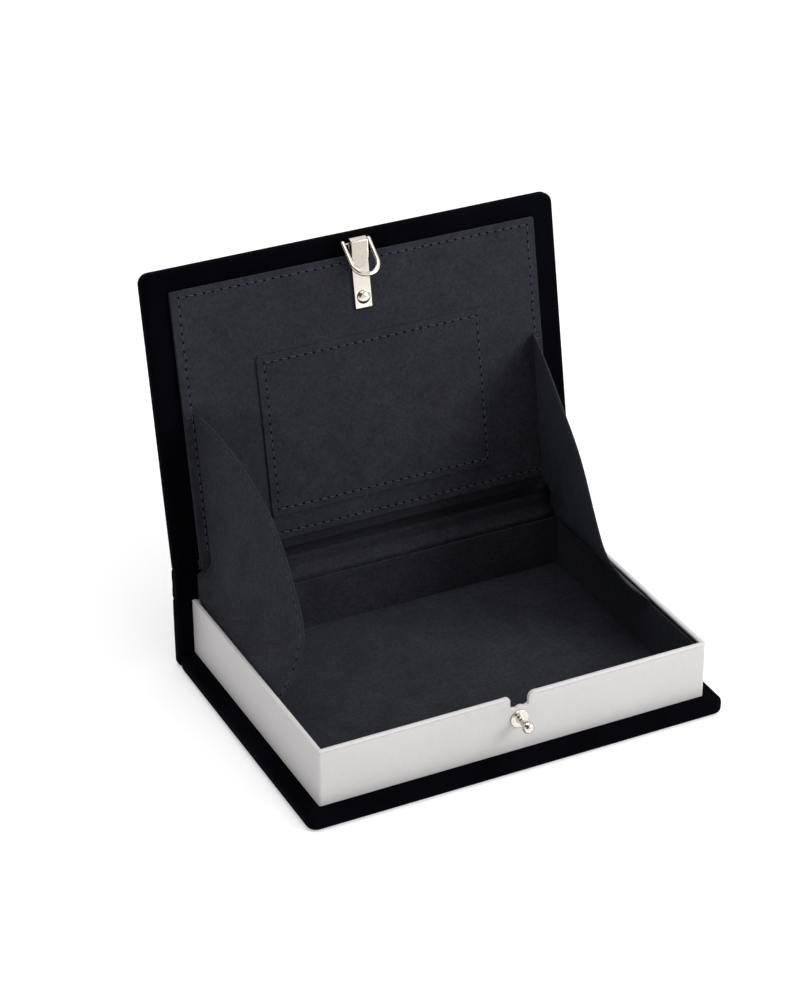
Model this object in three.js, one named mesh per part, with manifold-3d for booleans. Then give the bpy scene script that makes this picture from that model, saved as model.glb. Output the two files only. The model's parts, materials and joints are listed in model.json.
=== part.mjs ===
// A keepsake box made like a bound book, shown open.
// Padded velvet covers hold a page-coloured tray lined with suede.
// A ring on the lid hooks over a ball stud.
// Millimetres, +Z up. X runs across the cover, Y from the front edge back to the spine.
// The origin is the centre of the back cover's underside.

import * as THREE from 'three';
import { mergeVertices } from 'three/addons/utils/BufferGeometryUtils.js';
import Module from 'manifold-3d';

const wasm = await Module();
wasm.setup();

// Covers: a board with a sheet of padding outside it, wrapped in velvet
const COVER_WIDTH = 208;
const COVER_DEPTH = 153.4;
const BOARD = 3;
const PADDING = 2.4;
const VELVET = 1;
const GLUE = 0.1;
const COVER_EDGE_RADIUS = 2.6;
const COVER_CORNER_RADIUS = 5;
const TURN_IN = 15;
const SPINE_HEIGHT = 37;
const JOINT_WIDTH = 3;
const ROLL_WIDTH = 9;

// Tray: boards wrapped in leatherette on the three page sides
const PAGE_INSET_SIDE = 7.6;
const PAGE_INSET_FRONT = 7;
const WALL_HEIGHT = 28.4;
const WALL_BOARD = 1.4;
const PAGE_WRAP = 0.3;
const RIM_TURN_DOWN = 1.2;
const PAGE_CORNER_RADIUS = 0.8;
const FLOOR_BOARD = 1.4;
const BACK_WALL_DROP = 0.5;

// Lining on the walls' inner faces, and the panels that stand before it and lie on the floor
const WALL_LINING = 0.3;
const HINGE_LINING_TUCK = 6;
const LINER = 0.8;
const LINER_DROP = 2.05;
const BACK_LINER_DROP = 0.8;
const BACK_LINER_SETBACK = 3;

// Notch that the clasp passes through
const NOTCH_WIDTH = 9.2;
const NOTCH_DEPTH = 6.1;
const NOTCH_LEFT_SHOULDER_RADIUS = 1.9;
const NOTCH_RIGHT_SHOULDER_RADIUS = 3.2;
const NOTCH_CORNER_RADIUS = 1.2;
const NOTCH_CLEARANCE = 0.8;

// Lid
const LID_OPEN_DEG = 100.5;
const LID_GAP = 0.3;
const HINGE_FROM_BACK = 3.4;
const HINGE_BELOW_TOP = 1.1;
const PANEL_BOARD = 0.8;
const SUEDE = 0.4;
const PANEL_FRONT_GAP = 0.3;
const PANEL_SIDE_GAP = 0.6;
const PANEL_FOOT_SETBACK = 5.4;
const PANEL_CORNER_RADIUS = 1.5;
const PANEL_TURN_IN = 12;
const POCKET_WIDTH = 116;
const POCKET_THICKNESS = 0.8;
const POCKET_SHIFT = 3.4;
const POCKET_FROM_PANEL_FOOT = 12;
const POCKET_FROM_STRAP = 11.9;
const POCKET_CORNER_RADIUS = 1.5;

// Clasp: a strap riveted to the lid panel, curled round a D-shaped ring
const CLASP_X = 1;
const STRAP_WIDTH = 8.4;
const STRAP_THICKNESS = 1.3;
const STRAP_LENGTH = 31.5;
const STEP_CLEARANCE = 0.6;
const STEP_LENGTH = 2.4;
const RING_FROM_EDGE = 3.8;
const RING_WIRE = 1.9;
const RING_WIDTH = 13;
const RING_LENGTH = 17.1;
const RING_CORNER_RADIUS = 1.3;
const RING_ASIDE = 1.2;
const RING_CLEARANCE = 0.1;
const RING_REST_DEG = 43;
const TONGUE_LENGTH = 12;
const TONGUE_LEAN_DEG = 14;
const RIVET_FROM_STRAP_END = 5.6;
const RIVET_HEAD = 6.5;
const RIVET_HEAD_HEIGHT = 1.9;
const RIVET_SHANK = 3;
const BURR_DIAMETER = 6;
const BURR_THICKNESS = 0.5;

// Ball stud on the front wall
const STUD_DROP = 12;
const STUD_FLANGE = 9;
const STUD_FLANGE_THICKNESS = 0.8;
const STUD_BALL = 5.6;
const STUD_REACH = 8;
const STUD_NECK = 3.4;
const STUD_FOOT = 4.3;
const STUD_SPIGOT = 3.2;
const SCREW_SHANK = 1.6;
const SCREW_LENGTH = 3;
const SCREW_HEAD = 6;
const SCREW_HEAD_THICKNESS = 0.5;
const FIT = 0.1;

// Gussets: soft suede sheets from seams on the lid panel's sides down behind the tray's side liners
const GUSSET = 0.6;
const GUSSET_SEAM_INSET = 5;
const GUSSET_ROOT = 12;
const GUSSET_TUCK = 6;
const GUSSET_CREASE_SHARE = 0.5;
const GUSSET_LEAF_GAP = 0.3;
const GUSSET_REACH = 99;
const GUSSET_SAG = 18.3;
// Free edge from lid to tray, as shares of the lid's turn, the reach from the hinge and the sag inward
const GUSSET_EDGE_SHARES = [
  [0, 0.854, 0.355], [0.14, 0.813, 0.601], [0.25, 0.793, 0.748], [0.35, 0.786, 0.847], [0.5, 0.8, 0.945],
  [0.7, 0.82, 1], [0.82, 0.866, 0.984], [0.92, 0.929, 0.667], [1, 1, 0],
];

// How finely the round and curved stretches are stepped
const SIDES = 24;
const WIRE_SIDES = 12;
const RING_STEPS = 60;
const CURL_STEPS = 12;
const UPPER_STEPS = 10;
const LOWER_STEPS = 10;
const REACH_STEPS = 7;

// Levels and outlines worked out from the sizes above
const COVER = 2 * VELVET + PADDING + BOARD + 3 * GLUE;
const HALF_WIDTH = COVER_WIDTH / 2;
const FRONT = -COVER_DEPTH / 2;
const BACK = COVER_DEPTH / 2;
const WALL = PAGE_WRAP + WALL_LINING + 2 * GLUE + WALL_BOARD;
const PAGE_X = HALF_WIDTH - PAGE_INSET_SIDE;
const PAGE_FRONT = FRONT + PAGE_INSET_FRONT;
const PAGE_BACK = BACK - COVER - GLUE;
const TRAY_Z = COVER + GLUE;
const RIM_Z = TRAY_Z + WALL_HEIGHT;
const FLOOR_Z = TRAY_Z + FLOOR_BOARD + GLUE;
const LINER_TOP = RIM_Z - LINER_DROP;
const BACK_WALL_TOP = RIM_Z - BACK_WALL_DROP;
const BACK_WALL_FRONT = PAGE_BACK - BOARD;
const GUSSET_X = PAGE_X - WALL - GLUE - GUSSET / 2;
const LINER_OUTER_X = GUSSET_X - GUSSET / 2 - GLUE;
const LINER_INNER_X = LINER_OUTER_X - LINER;
const LINER_FRONT = PAGE_FRONT + WALL + GLUE;
const BACK_LINER_Y = BACK_WALL_FRONT - SUEDE - BACK_LINER_SETBACK;
const LID_FACE = RIM_Z + LID_GAP;
const LID_TOP = LID_FACE + COVER;
const LID_BACK = PAGE_BACK - JOINT_WIDTH;
const HINGE_Y = BACK - HINGE_FROM_BACK;
const HINGE_Z = LID_TOP - HINGE_BELOW_TOP;
const PANEL = PANEL_BOARD + 2 * SUEDE + 2 * GLUE;
const PANEL_BACK_FACE = LID_FACE - GLUE;
const PANEL_FACE = PANEL_BACK_FACE - PANEL;
const PANEL_X = LINER_INNER_X - PANEL_SIDE_GAP;
const PANEL_TOP_Y = PAGE_FRONT + WALL + PANEL_FRONT_GAP;
const PANEL_FOOT_Y = LID_BACK - PANEL_FOOT_SETBACK;
const STUD_Z = RIM_Z - STUD_DROP;
const SCREW_SEAT = PAGE_FRONT + PAGE_WRAP + WALL_BOARD + 2 * GLUE;
const BAR_RADIUS = RING_WIRE / 2;
const CURL_RADIUS = BAR_RADIUS + RING_CLEARANCE;
const RING_Y = FRONT + RING_FROM_EDGE;
const RING_Z = LID_FACE - GLUE - STRAP_THICKNESS - CURL_RADIUS;
const STRAP_END_Y = RING_Y + STRAP_LENGTH;
const RIVET_Y = STRAP_END_Y - RIVET_FROM_STRAP_END;
const LID_OPEN = THREE.MathUtils.degToRad(LID_OPEN_DEG);

// Materials
const material = (color, roughness, metalness = 0) =>
  new THREE.MeshStandardMaterial({ color, roughness, metalness, side: THREE.DoubleSide });
const velvet = material(0x0a0b18, 0.95);
const greyboard = material(0x8f8a80, 0.9);
const foam = material(0xd8d2b8, 0.95);
const leatherette = material(0xdedbd8, 0.55);
const suede = material(0x2c2d33, 0.95);
const metal = material(0xe2d8c4, 0.22, 1);

// Solids and booleans
function toSolid(source) {
  const bare = source.index ? source.toNonIndexed() : source.clone();
  bare.deleteAttribute('normal');
  bare.deleteAttribute('uv');
  const merged = mergeVertices(bare, 1e-4);
  const vertProperties = new Float32Array(merged.attributes.position.array);
  const triVerts = new Uint32Array(merged.index.array);
  return new wasm.Manifold(new wasm.Mesh({ numProp: 3, vertProperties, triVerts }));
}

function toGeometry(solid) {
  const { vertProperties, triVerts, numProp } = solid.getMesh();
  const points = new Float32Array((vertProperties.length / numProp) * 3);
  for (let i = 0; i < points.length / 3; i += 1) {
    for (let k = 0; k < 3; k += 1) points[3 * i + k] = vertProperties[numProp * i + k];
  }
  const geometry = new THREE.BufferGeometry();
  geometry.setAttribute('position', new THREE.BufferAttribute(points, 3));
  geometry.setIndex(new THREE.BufferAttribute(new Uint32Array(triVerts), 1));
  geometry.computeVertexNormals();
  return geometry;
}

const cut = (body, ...tools) => tools.reduce((rest, tool) => rest.subtract(tool), body);

// A box between two corners, with its faces exactly there
function block(x0, x1, y0, y1, z0, z1) {
  const geometry = new THREE.BoxGeometry(1, 1, 1);
  const position = geometry.attributes.position;
  for (let i = 0; i < position.count; i += 1) {
    position.setXYZ(
      i,
      position.getX(i) < 0 ? x0 : x1,
      position.getY(i) < 0 ? y0 : y1,
      position.getZ(i) < 0 ? z0 : z1,
    );
  }
  return toSolid(geometry);
}

function roundedRectangle(x0, x1, y0, y1, radius) {
  const shape = new THREE.Shape();
  shape.moveTo(x0 + radius, y0);
  shape.lineTo(x1 - radius, y0);
  shape.absarc(x1 - radius, y0 + radius, radius, -Math.PI / 2, 0, false);
  shape.lineTo(x1, y1 - radius);
  shape.absarc(x1 - radius, y1 - radius, radius, 0, Math.PI / 2, false);
  shape.lineTo(x0 + radius, y1);
  shape.absarc(x0 + radius, y1 - radius, radius, Math.PI / 2, Math.PI, false);
  shape.lineTo(x0, y0 + radius);
  shape.absarc(x0 + radius, y0 + radius, radius, Math.PI, 1.5 * Math.PI, false);
  return shape;
}

// A plate standing on z0, its plan a rounded rectangle
function plate(x0, x1, y0, y1, z0, z1, radius) {
  const shape = roundedRectangle(x0, x1, y0, y1, radius);
  const options = { depth: z1 - z0, bevelEnabled: false, curveSegments: 4 };
  const geometry = new THREE.ExtrudeGeometry(shape, options);
  return toSolid(geometry.translate(0, 0, z0));
}

// A cylinder from one point to another
function rod(from, to, radius, sides = SIDES) {
  const start = new THREE.Vector3(...from);
  const span = new THREE.Vector3(...to).sub(start);
  const geometry = new THREE.CylinderGeometry(radius, radius, span.length(), sides);
  geometry.translate(0, span.length() / 2, 0);
  const turn = new THREE.Quaternion().setFromUnitVectors(new THREE.Vector3(0, 1, 0), span.normalize());
  geometry.applyQuaternion(turn);
  return toSolid(geometry.translate(...from));
}

// A profile in the Y-Z plane, given as [y, z] points in a Shape, drawn out along X
function drawnAcross(shape, x0, x1) {
  const options = { depth: x1 - x0, bevelEnabled: false, curveSegments: 8 };
  const geometry = new THREE.ExtrudeGeometry(shape, options);
  const turn = new THREE.Matrix4().makeBasis(
    new THREE.Vector3(0, 1, 0), new THREE.Vector3(0, 0, 1), new THREE.Vector3(1, 0, 0),
  );
  return toSolid(geometry.applyMatrix4(turn).translate(x0, 0, 0));
}

// The outline of a band of even thickness along [y, z] points
function band(points, thickness) {
  const path = points.map(([y, z]) => new THREE.Vector2(y, z));
  const sides = [[], []];
  path.forEach((point, i) => {
    const before = path[Math.max(i - 1, 0)];
    const after = path[Math.min(i + 1, path.length - 1)];
    const into = point.clone().sub(before).normalize();
    const out = after.clone().sub(point).normalize();
    const along = into.clone().add(out).normalize();
    const normal = new THREE.Vector2(-along.y, along.x);
    const share = Math.max(along.dot(i > 0 ? into : out), 0.5);
    sides[0].push(point.clone().addScaledVector(normal, thickness / 2 / share));
    sides[1].unshift(point.clone().addScaledVector(normal, -thickness / 2 / share));
  });
  return new THREE.Shape([...sides[0], ...sides[1]]);
}

const part = new THREE.Group();
const lid = new THREE.Group();
const lidContents = new THREE.Group();
const ring = new THREE.Group();

function addMesh(parent, name, solid, finish) {
  const mesh = new THREE.Mesh(toGeometry(solid), finish);
  mesh.name = name;
  parent.add(mesh);
  return mesh;
}

// Where a point of the closed lid stands when the lid is open
function opened(x, y, z) {
  const arm = new THREE.Vector3(0, y - HINGE_Y, z - HINGE_Z);
  arm.applyAxisAngle(new THREE.Vector3(1, 0, 0), -LID_OPEN);
  return new THREE.Vector3(x, arm.y + HINGE_Y, arm.z + HINGE_Z);
}

// A covered board: X across, Y from 0 to its length, Z from its outer face inward
function coveredBoard(name, length) {
  const group = new THREE.Group();
  const skin = VELVET + GLUE;
  const radius = COVER_EDGE_RADIUS;
  const outline = roundedRectangle(-HALF_WIDTH, HALF_WIDTH, 0, length, COVER_CORNER_RADIUS);
  const wrapped = new THREE.ExtrudeGeometry(outline, {
    depth: COVER - 2 * radius,
    bevelThickness: radius,
    bevelSize: radius,
    bevelOffset: -radius,
    bevelSegments: 4,
    curveSegments: 4,
  });
  wrapped.translate(0, 0, radius);
  const core = (inset, z0, z1) => plate(
    -HALF_WIDTH + inset, HALF_WIDTH - inset, inset, length - inset, z0, z1, COVER_CORNER_RADIUS - VELVET,
  );
  const boardZ = skin + PADDING + GLUE;
  const turnIn = Math.min(TURN_IN, length / 2 - TURN_IN / 5);
  const window = block(
    -HALF_WIDTH + TURN_IN, HALF_WIDTH - TURN_IN, turnIn, length - turnIn, COVER / 2, COVER + 1,
  );
  const cloth = cut(toSolid(wrapped), core(VELVET, VELVET, COVER - VELVET), window);
  addMesh(group, `${name}_board`, core(skin, boardZ, boardZ + BOARD), greyboard);
  addMesh(group, `${name}_padding`, core(skin, skin, skin + PADDING), foam);
  addMesh(group, `${name}_velvet`, cloth, velvet);
  return group;
}

function addCovers() {
  const backCover = coveredBoard('back_cover', PAGE_BACK - FRONT);
  backCover.position.set(0, FRONT, 0);
  const spine = coveredBoard('spine', SPINE_HEIGHT);
  spine.rotation.x = Math.PI / 2;
  spine.position.set(0, BACK, 0);
  const frontCover = coveredBoard('front_cover', LID_BACK - FRONT);
  frontCover.rotation.x = Math.PI;
  frontCover.position.set(0, LID_BACK, LID_TOP);
  part.add(backCover, spine);
  lidContents.add(frontCover);
}

// The notch in the front wall, made larger all round by a margin
function notch(margin) {
  const half = NOTCH_WIDTH / 2 + margin;
  const left = NOTCH_LEFT_SHOULDER_RADIUS - margin;
  const right = NOTCH_RIGHT_SHOULDER_RADIUS - margin;
  const corner = NOTCH_CORNER_RADIUS + margin;
  const bottom = RIM_Z - NOTCH_DEPTH - margin;
  const above = RIM_Z + NOTCH_DEPTH;
  const shape = new THREE.Shape();
  shape.moveTo(half + right, above);
  shape.lineTo(-half - left, above);
  shape.lineTo(-half - left, RIM_Z);
  shape.absarc(-half - left, RIM_Z - left, left, Math.PI / 2, 0, true);
  shape.absarc(-half + corner, bottom + corner, corner, Math.PI, 1.5 * Math.PI, false);
  shape.absarc(half - corner, bottom + corner, corner, -Math.PI / 2, 0, false);
  shape.absarc(half + right, RIM_Z - right, right, Math.PI, Math.PI / 2, true);
  const reach = PAGE_INSET_FRONT + WALL;
  const options = { depth: 2 * reach, bevelEnabled: false, curveSegments: 6 };
  const geometry = new THREE.ExtrudeGeometry(shape, options);
  return toSolid(geometry.rotateX(Math.PI / 2).translate(CLASP_X, PAGE_FRONT + reach, 0));
}

// Room for the head of the stud's screw behind the front wall
function screwRoom() {
  return rod(
    [CLASP_X, LINER_FRONT - WALL, STUD_Z],
    [CLASP_X, SCREW_SEAT + SCREW_HEAD_THICKNESS + FIT, STUD_Z],
    SCREW_HEAD / 2 + 2 * FIT,
  );
}

function studHole(radius) {
  return rod([CLASP_X, PAGE_FRONT - WALL, STUD_Z], [CLASP_X, PAGE_FRONT + 2 * WALL, STUD_Z], radius);
}

function addTray() {
  const spigotHole = studHole(STUD_SPIGOT / 2 + FIT);
  const boardNotch = notch(PAGE_WRAP + GLUE);
  // The inside of the page block's outline, set in from its outer faces
  const inside = (inset, z0, z1) => block(
    -PAGE_X + inset, PAGE_X - inset, PAGE_FRONT + inset, PAGE_BACK + 1, z0, z1,
  );

  const outline = new THREE.Shape();
  const corner = PAGE_CORNER_RADIUS;
  outline.moveTo(-PAGE_X, PAGE_BACK);
  outline.lineTo(-PAGE_X, PAGE_FRONT + corner);
  outline.absarc(-PAGE_X + corner, PAGE_FRONT + corner, corner, Math.PI, 1.5 * Math.PI, false);
  outline.lineTo(PAGE_X - corner, PAGE_FRONT);
  outline.absarc(PAGE_X - corner, PAGE_FRONT + corner, corner, -Math.PI / 2, 0, false);
  outline.lineTo(PAGE_X, PAGE_BACK);
  const options = { depth: WALL_HEIGHT, bevelEnabled: false, curveSegments: 5 };
  const pages = new THREE.ExtrudeGeometry(outline, options);
  const boardRoom = inside(PAGE_WRAP, TRAY_Z - 1, RIM_Z - PAGE_WRAP)
    .subtract(inside(WALL - WALL_LINING, TRAY_Z - 2, RIM_Z + 1))
    .subtract(notch(PAGE_WRAP));
  const wrap = cut(
    toSolid(pages.translate(0, 0, TRAY_Z)),
    inside(WALL, TRAY_Z - 1, RIM_Z + 1),
    inside(PAGE_WRAP, TRAY_Z - 1, RIM_Z - RIM_TURN_DOWN),
    boardRoom,
    notch(0),
    spigotHole,
  );
  addMesh(part, 'page_wrap', wrap, leatherette);

  const liningX = PAGE_X - WALL + WALL_LINING;
  const liningFront = PAGE_FRONT + WALL - WALL_LINING;
  const lining = cut(
    block(-liningX, liningX, liningFront, PAGE_BACK, FLOOR_Z, RIM_Z - RIM_TURN_DOWN - GLUE),
    inside(WALL, TRAY_Z, RIM_Z),
    notch(0),
    screwRoom(),
  );
  addMesh(part, 'wall_lining', lining, suede);

  const skin = PAGE_WRAP + GLUE;
  const boardTop = RIM_Z - skin;
  const outerX = PAGE_X - skin;
  const innerX = outerX - WALL_BOARD;
  const frontBoardY = PAGE_FRONT + skin;
  const sideFront = frontBoardY + WALL_BOARD + GLUE;
  const frontBoard = block(-outerX, outerX, frontBoardY, frontBoardY + WALL_BOARD, TRAY_Z, boardTop);
  addMesh(part, 'front_wall_board', cut(frontBoard, boardNotch, spigotHole), greyboard);
  const leftWall = block(-outerX, -innerX, sideFront, PAGE_BACK, TRAY_Z, boardTop);
  addMesh(part, 'left_wall_board', leftWall, greyboard);
  const rightWall = block(innerX, outerX, sideFront, PAGE_BACK, TRAY_Z, boardTop);
  addMesh(part, 'right_wall_board', rightWall, greyboard);
  const backX = PAGE_X - WALL - GLUE;
  const backBoard = block(-backX, backX, BACK_WALL_FRONT, PAGE_BACK, TRAY_Z, BACK_WALL_TOP);
  addMesh(part, 'back_wall_board', backBoard, greyboard);
  const floorX = innerX - GLUE;
  const floorBack = BACK_WALL_FRONT - GLUE;
  const floorBoard = block(-floorX, floorX, sideFront, floorBack, TRAY_Z, TRAY_Z + FLOOR_BOARD);
  addMesh(part, 'tray_floor_board', floorBoard, greyboard);
}

function addLiners() {
  const endX = LINER_INNER_X - GLUE;
  const frontInner = LINER_FRONT + LINER;
  const sideBack = BACK_WALL_FRONT - SUEDE - 3 * GLUE;
  const front = block(-endX, endX, LINER_FRONT, frontInner, FLOOR_Z, LINER_TOP);
  addMesh(part, 'front_liner', cut(front, notch(NOTCH_CLEARANCE), screwRoom()), suede);
  const back = block(-endX, endX, BACK_LINER_Y - LINER, BACK_LINER_Y, FLOOR_Z, RIM_Z - BACK_LINER_DROP);
  addMesh(part, 'back_liner', back, suede);
  const side = (x0, x1) => block(x0, x1, LINER_FRONT, sideBack, FLOOR_Z, LINER_TOP);
  addMesh(part, 'left_liner', side(-LINER_OUTER_X, -LINER_INNER_X), suede);
  addMesh(part, 'right_liner', side(LINER_INNER_X, LINER_OUTER_X), suede);
  const floor = block(-endX, endX, frontInner + GLUE, BACK_LINER_Y - LINER - GLUE, FLOOR_Z, FLOOR_Z + LINER);
  addMesh(part, 'floor_liner', floor, suede);
}

// The cloth joint between the spine and the lid, rolled in at both ends, and the lining strip inside it
function addHingeCloths() {
  const lidPoint = (y, z) => {
    const point = opened(0, y, z);
    return [point.y, point.z];
  };
  const clothInset = VELVET + VELVET / 2;
  const outer = [
    [BACK - clothInset, SPINE_HEIGHT + GLUE],
    [BACK - clothInset, HINGE_Z],
    lidPoint(LID_BACK + GLUE, LID_TOP - clothInset),
  ];
  const halfCloth = HALF_WIDTH - VELVET;
  const strip = drawnAcross(band(outer, VELVET), -halfCloth, halfCloth);
  const rollBack = BACK - VELVET;
  const roll = new THREE.Shape([
    [PAGE_BACK + GLUE, SPINE_HEIGHT + GLUE],
    [rollBack, SPINE_HEIGHT + GLUE],
    [rollBack, HINGE_Z],
    lidPoint(LID_BACK + GLUE, LID_TOP - VELVET),
    lidPoint(LID_BACK + GLUE, LID_FACE + VELVET),
  ].map(([y, z]) => new THREE.Vector2(y, z)));
  const rolls = [-halfCloth, halfCloth - ROLL_WIDTH].map((x) => drawnAcross(roll, x, x + ROLL_WIDTH));
  addMesh(part, 'hinge_cloth', strip.add(rolls[0]).add(rolls[1]), velvet);

  const wallFace = BACK_WALL_FRONT - GLUE - SUEDE / 2;
  const lidFace = LID_FACE - GLUE - SUEDE / 2;
  const inner = [
    [wallFace, BACK_WALL_TOP - HINGE_LINING_TUCK],
    [wallFace, BACK_WALL_TOP + GLUE + SUEDE / 2],
    [HINGE_Y, HINGE_Z],
    lidPoint(LID_BACK + GLUE, lidFace),
    lidPoint(PANEL_FOOT_Y + GLUE, lidFace),
  ];
  const halfLining = LINER_INNER_X;
  addMesh(part, 'hinge_lining', drawnAcross(band(inner, SUEDE), -halfLining, halfLining), suede);
}

function addLidPanel() {
  const rivetHole = rod(
    [CLASP_X, RIVET_Y, PANEL_FACE - PANEL],
    [CLASP_X, RIVET_Y, LID_FACE + PANEL],
    RIVET_SHANK / 2 + FIT,
  );
  const skin = SUEDE + GLUE;
  const slab = (inset, z0, z1) => plate(
    -PANEL_X + inset, PANEL_X - inset, PANEL_TOP_Y + inset, PANEL_FOOT_Y - inset,
    z0, z1, PANEL_CORNER_RADIUS - inset,
  );
  const board = slab(skin, PANEL_FACE + skin, PANEL_BACK_FACE - skin);
  addMesh(lidContents, 'lid_panel_board', cut(board, rivetHole), greyboard);
  const window = block(
    -PANEL_X + PANEL_TURN_IN, PANEL_X - PANEL_TURN_IN,
    PANEL_TOP_Y + PANEL_TURN_IN, PANEL_FOOT_Y - PANEL_TURN_IN,
    (PANEL_FACE + PANEL_BACK_FACE) / 2, PANEL_BACK_FACE + 1,
  );
  const cover = cut(
    slab(0, PANEL_FACE, PANEL_BACK_FACE),
    slab(SUEDE, PANEL_FACE + SUEDE, PANEL_BACK_FACE - SUEDE),
    window,
    rivetHole,
  );
  addMesh(lidContents, 'lid_panel_suede', cover, suede);

  const pocket = plate(
    POCKET_SHIFT - POCKET_WIDTH / 2, POCKET_SHIFT + POCKET_WIDTH / 2,
    STRAP_END_Y + POCKET_FROM_STRAP, PANEL_FOOT_Y - POCKET_FROM_PANEL_FOOT,
    PANEL_FACE - GLUE - POCKET_THICKNESS, PANEL_FACE - GLUE, POCKET_CORNER_RADIUS,
  );
  addMesh(lidContents, 'pocket_panel', pocket, suede);
}

// The strap lies on the panel, curls round the ring's bar and comes back as a round-ended tongue
function addClasp() {
  const lean = THREE.MathUtils.degToRad(TONGUE_LEAN_DEG);
  const tongueWay = new THREE.Vector2(Math.cos(lean), -Math.sin(lean));
  const tongueOut = new THREE.Vector2(-Math.sin(lean), -Math.cos(lean));
  const at = (radius, along) => new THREE.Vector2(RING_Y, RING_Z)
    .addScaledVector(tongueOut, radius)
    .addScaledVector(tongueWay, along);
  const middle = CURL_RADIUS + STRAP_THICKNESS / 2;
  const tip = at(middle, TONGUE_LENGTH);
  const curl = new THREE.EllipseCurve(RING_Y, RING_Z, middle, middle, Math.PI / 2, 1.5 * Math.PI - lean);
  const path = [
    [STRAP_END_Y, PANEL_FACE - GLUE - STRAP_THICKNESS / 2],
    [PANEL_TOP_Y - STEP_CLEARANCE, PANEL_FACE - GLUE - STRAP_THICKNESS / 2],
    [PANEL_TOP_Y - STEP_CLEARANCE - STEP_LENGTH, RING_Z + middle],
    ...curl.getPoints(CURL_STEPS).map((point) => point.toArray()),
    [tip.x, tip.y],
  ];
  const half = STRAP_WIDTH / 2;
  const strap = drawnAcross(band(path, STRAP_THICKNESS), CLASP_X - half, CLASP_X + half);

  // What is trimmed off the tongue to leave a half-round end
  const roundY = tip.x - half;
  const low = tip.y - TONGUE_LENGTH;
  const high = RING_Z - BAR_RADIUS;
  const square = block(CLASP_X - half - 1, CLASP_X + half + 1, roundY, tip.x + half, low, high);
  const round = rod([CLASP_X, roundY, low - 1], [CLASP_X, roundY, high + 1], half);
  const shaftRadius = RIVET_SHANK / 2 + FIT;
  const shaft = rod([CLASP_X, RIVET_Y, PANEL_FACE - PANEL], [CLASP_X, RIVET_Y, LID_TOP], shaftRadius);
  addMesh(lidContents, 'clasp_strap', cut(strap, square.subtract(round), shaft), metal);

  const headZ = PANEL_FACE - 2 * GLUE - STRAP_THICKNESS;
  const burrZ = LID_FACE + GLUE;
  const endZ = burrZ + BURR_THICKNESS + GLUE;
  const profile = new THREE.Path();
  profile.moveTo(0, headZ - RIVET_HEAD_HEIGHT);
  profile.quadraticCurveTo(RIVET_HEAD / 2, headZ - RIVET_HEAD_HEIGHT, RIVET_HEAD / 2, headZ);
  profile.lineTo(RIVET_SHANK / 2, headZ);
  profile.lineTo(RIVET_SHANK / 2, endZ);
  profile.lineTo(0, endZ);
  const rivet = new THREE.LatheGeometry(profile.getPoints(6), SIDES).rotateX(Math.PI / 2);
  addMesh(lidContents, 'clasp_rivet', toSolid(rivet.translate(CLASP_X, RIVET_Y, 0)), metal);
  const burr = rod([CLASP_X, RIVET_Y, burrZ], [CLASP_X, RIVET_Y, burrZ + BURR_THICKNESS], BURR_DIAMETER / 2);
  addMesh(lidContents, 'rivet_burr', cut(burr, shaft), metal);
}

// A closed wire bent flat to an outline
class WireLoop extends THREE.Curve {
  constructor(outline) {
    super();
    this.outline = outline;
  }

  getPoint(share, target = new THREE.Vector3()) {
    const { x, y } = this.outline.getPoint(share);
    return target.set(x, y, 0);
  }
}

// The ring's bar lies across the origin and its bow stands at +Y
function addRing() {
  const half = RING_WIDTH / 2;
  const corner = RING_CORNER_RADIUS;
  const outline = new THREE.Path();
  outline.moveTo(0, 0);
  outline.lineTo(half - corner, 0);
  outline.absarc(half - corner, corner, corner, -Math.PI / 2, 0, false);
  outline.lineTo(half, RING_LENGTH - half);
  outline.absarc(0, RING_LENGTH - half, half, 0, Math.PI, false);
  outline.lineTo(-half, corner);
  outline.absarc(-half + corner, corner, corner, Math.PI, 1.5 * Math.PI, false);
  outline.lineTo(0, 0);
  const wire = new THREE.TubeGeometry(new WireLoop(outline), RING_STEPS, BAR_RADIUS, WIRE_SIDES, true);
  addMesh(ring, 'clasp_ring', toSolid(wire), metal);
  ring.rotation.x = -THREE.MathUtils.degToRad(RING_REST_DEG);
  ring.position.set(CLASP_X - RING_ASIDE, RING_Y, RING_Z);
  lidContents.add(ring);
}

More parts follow.
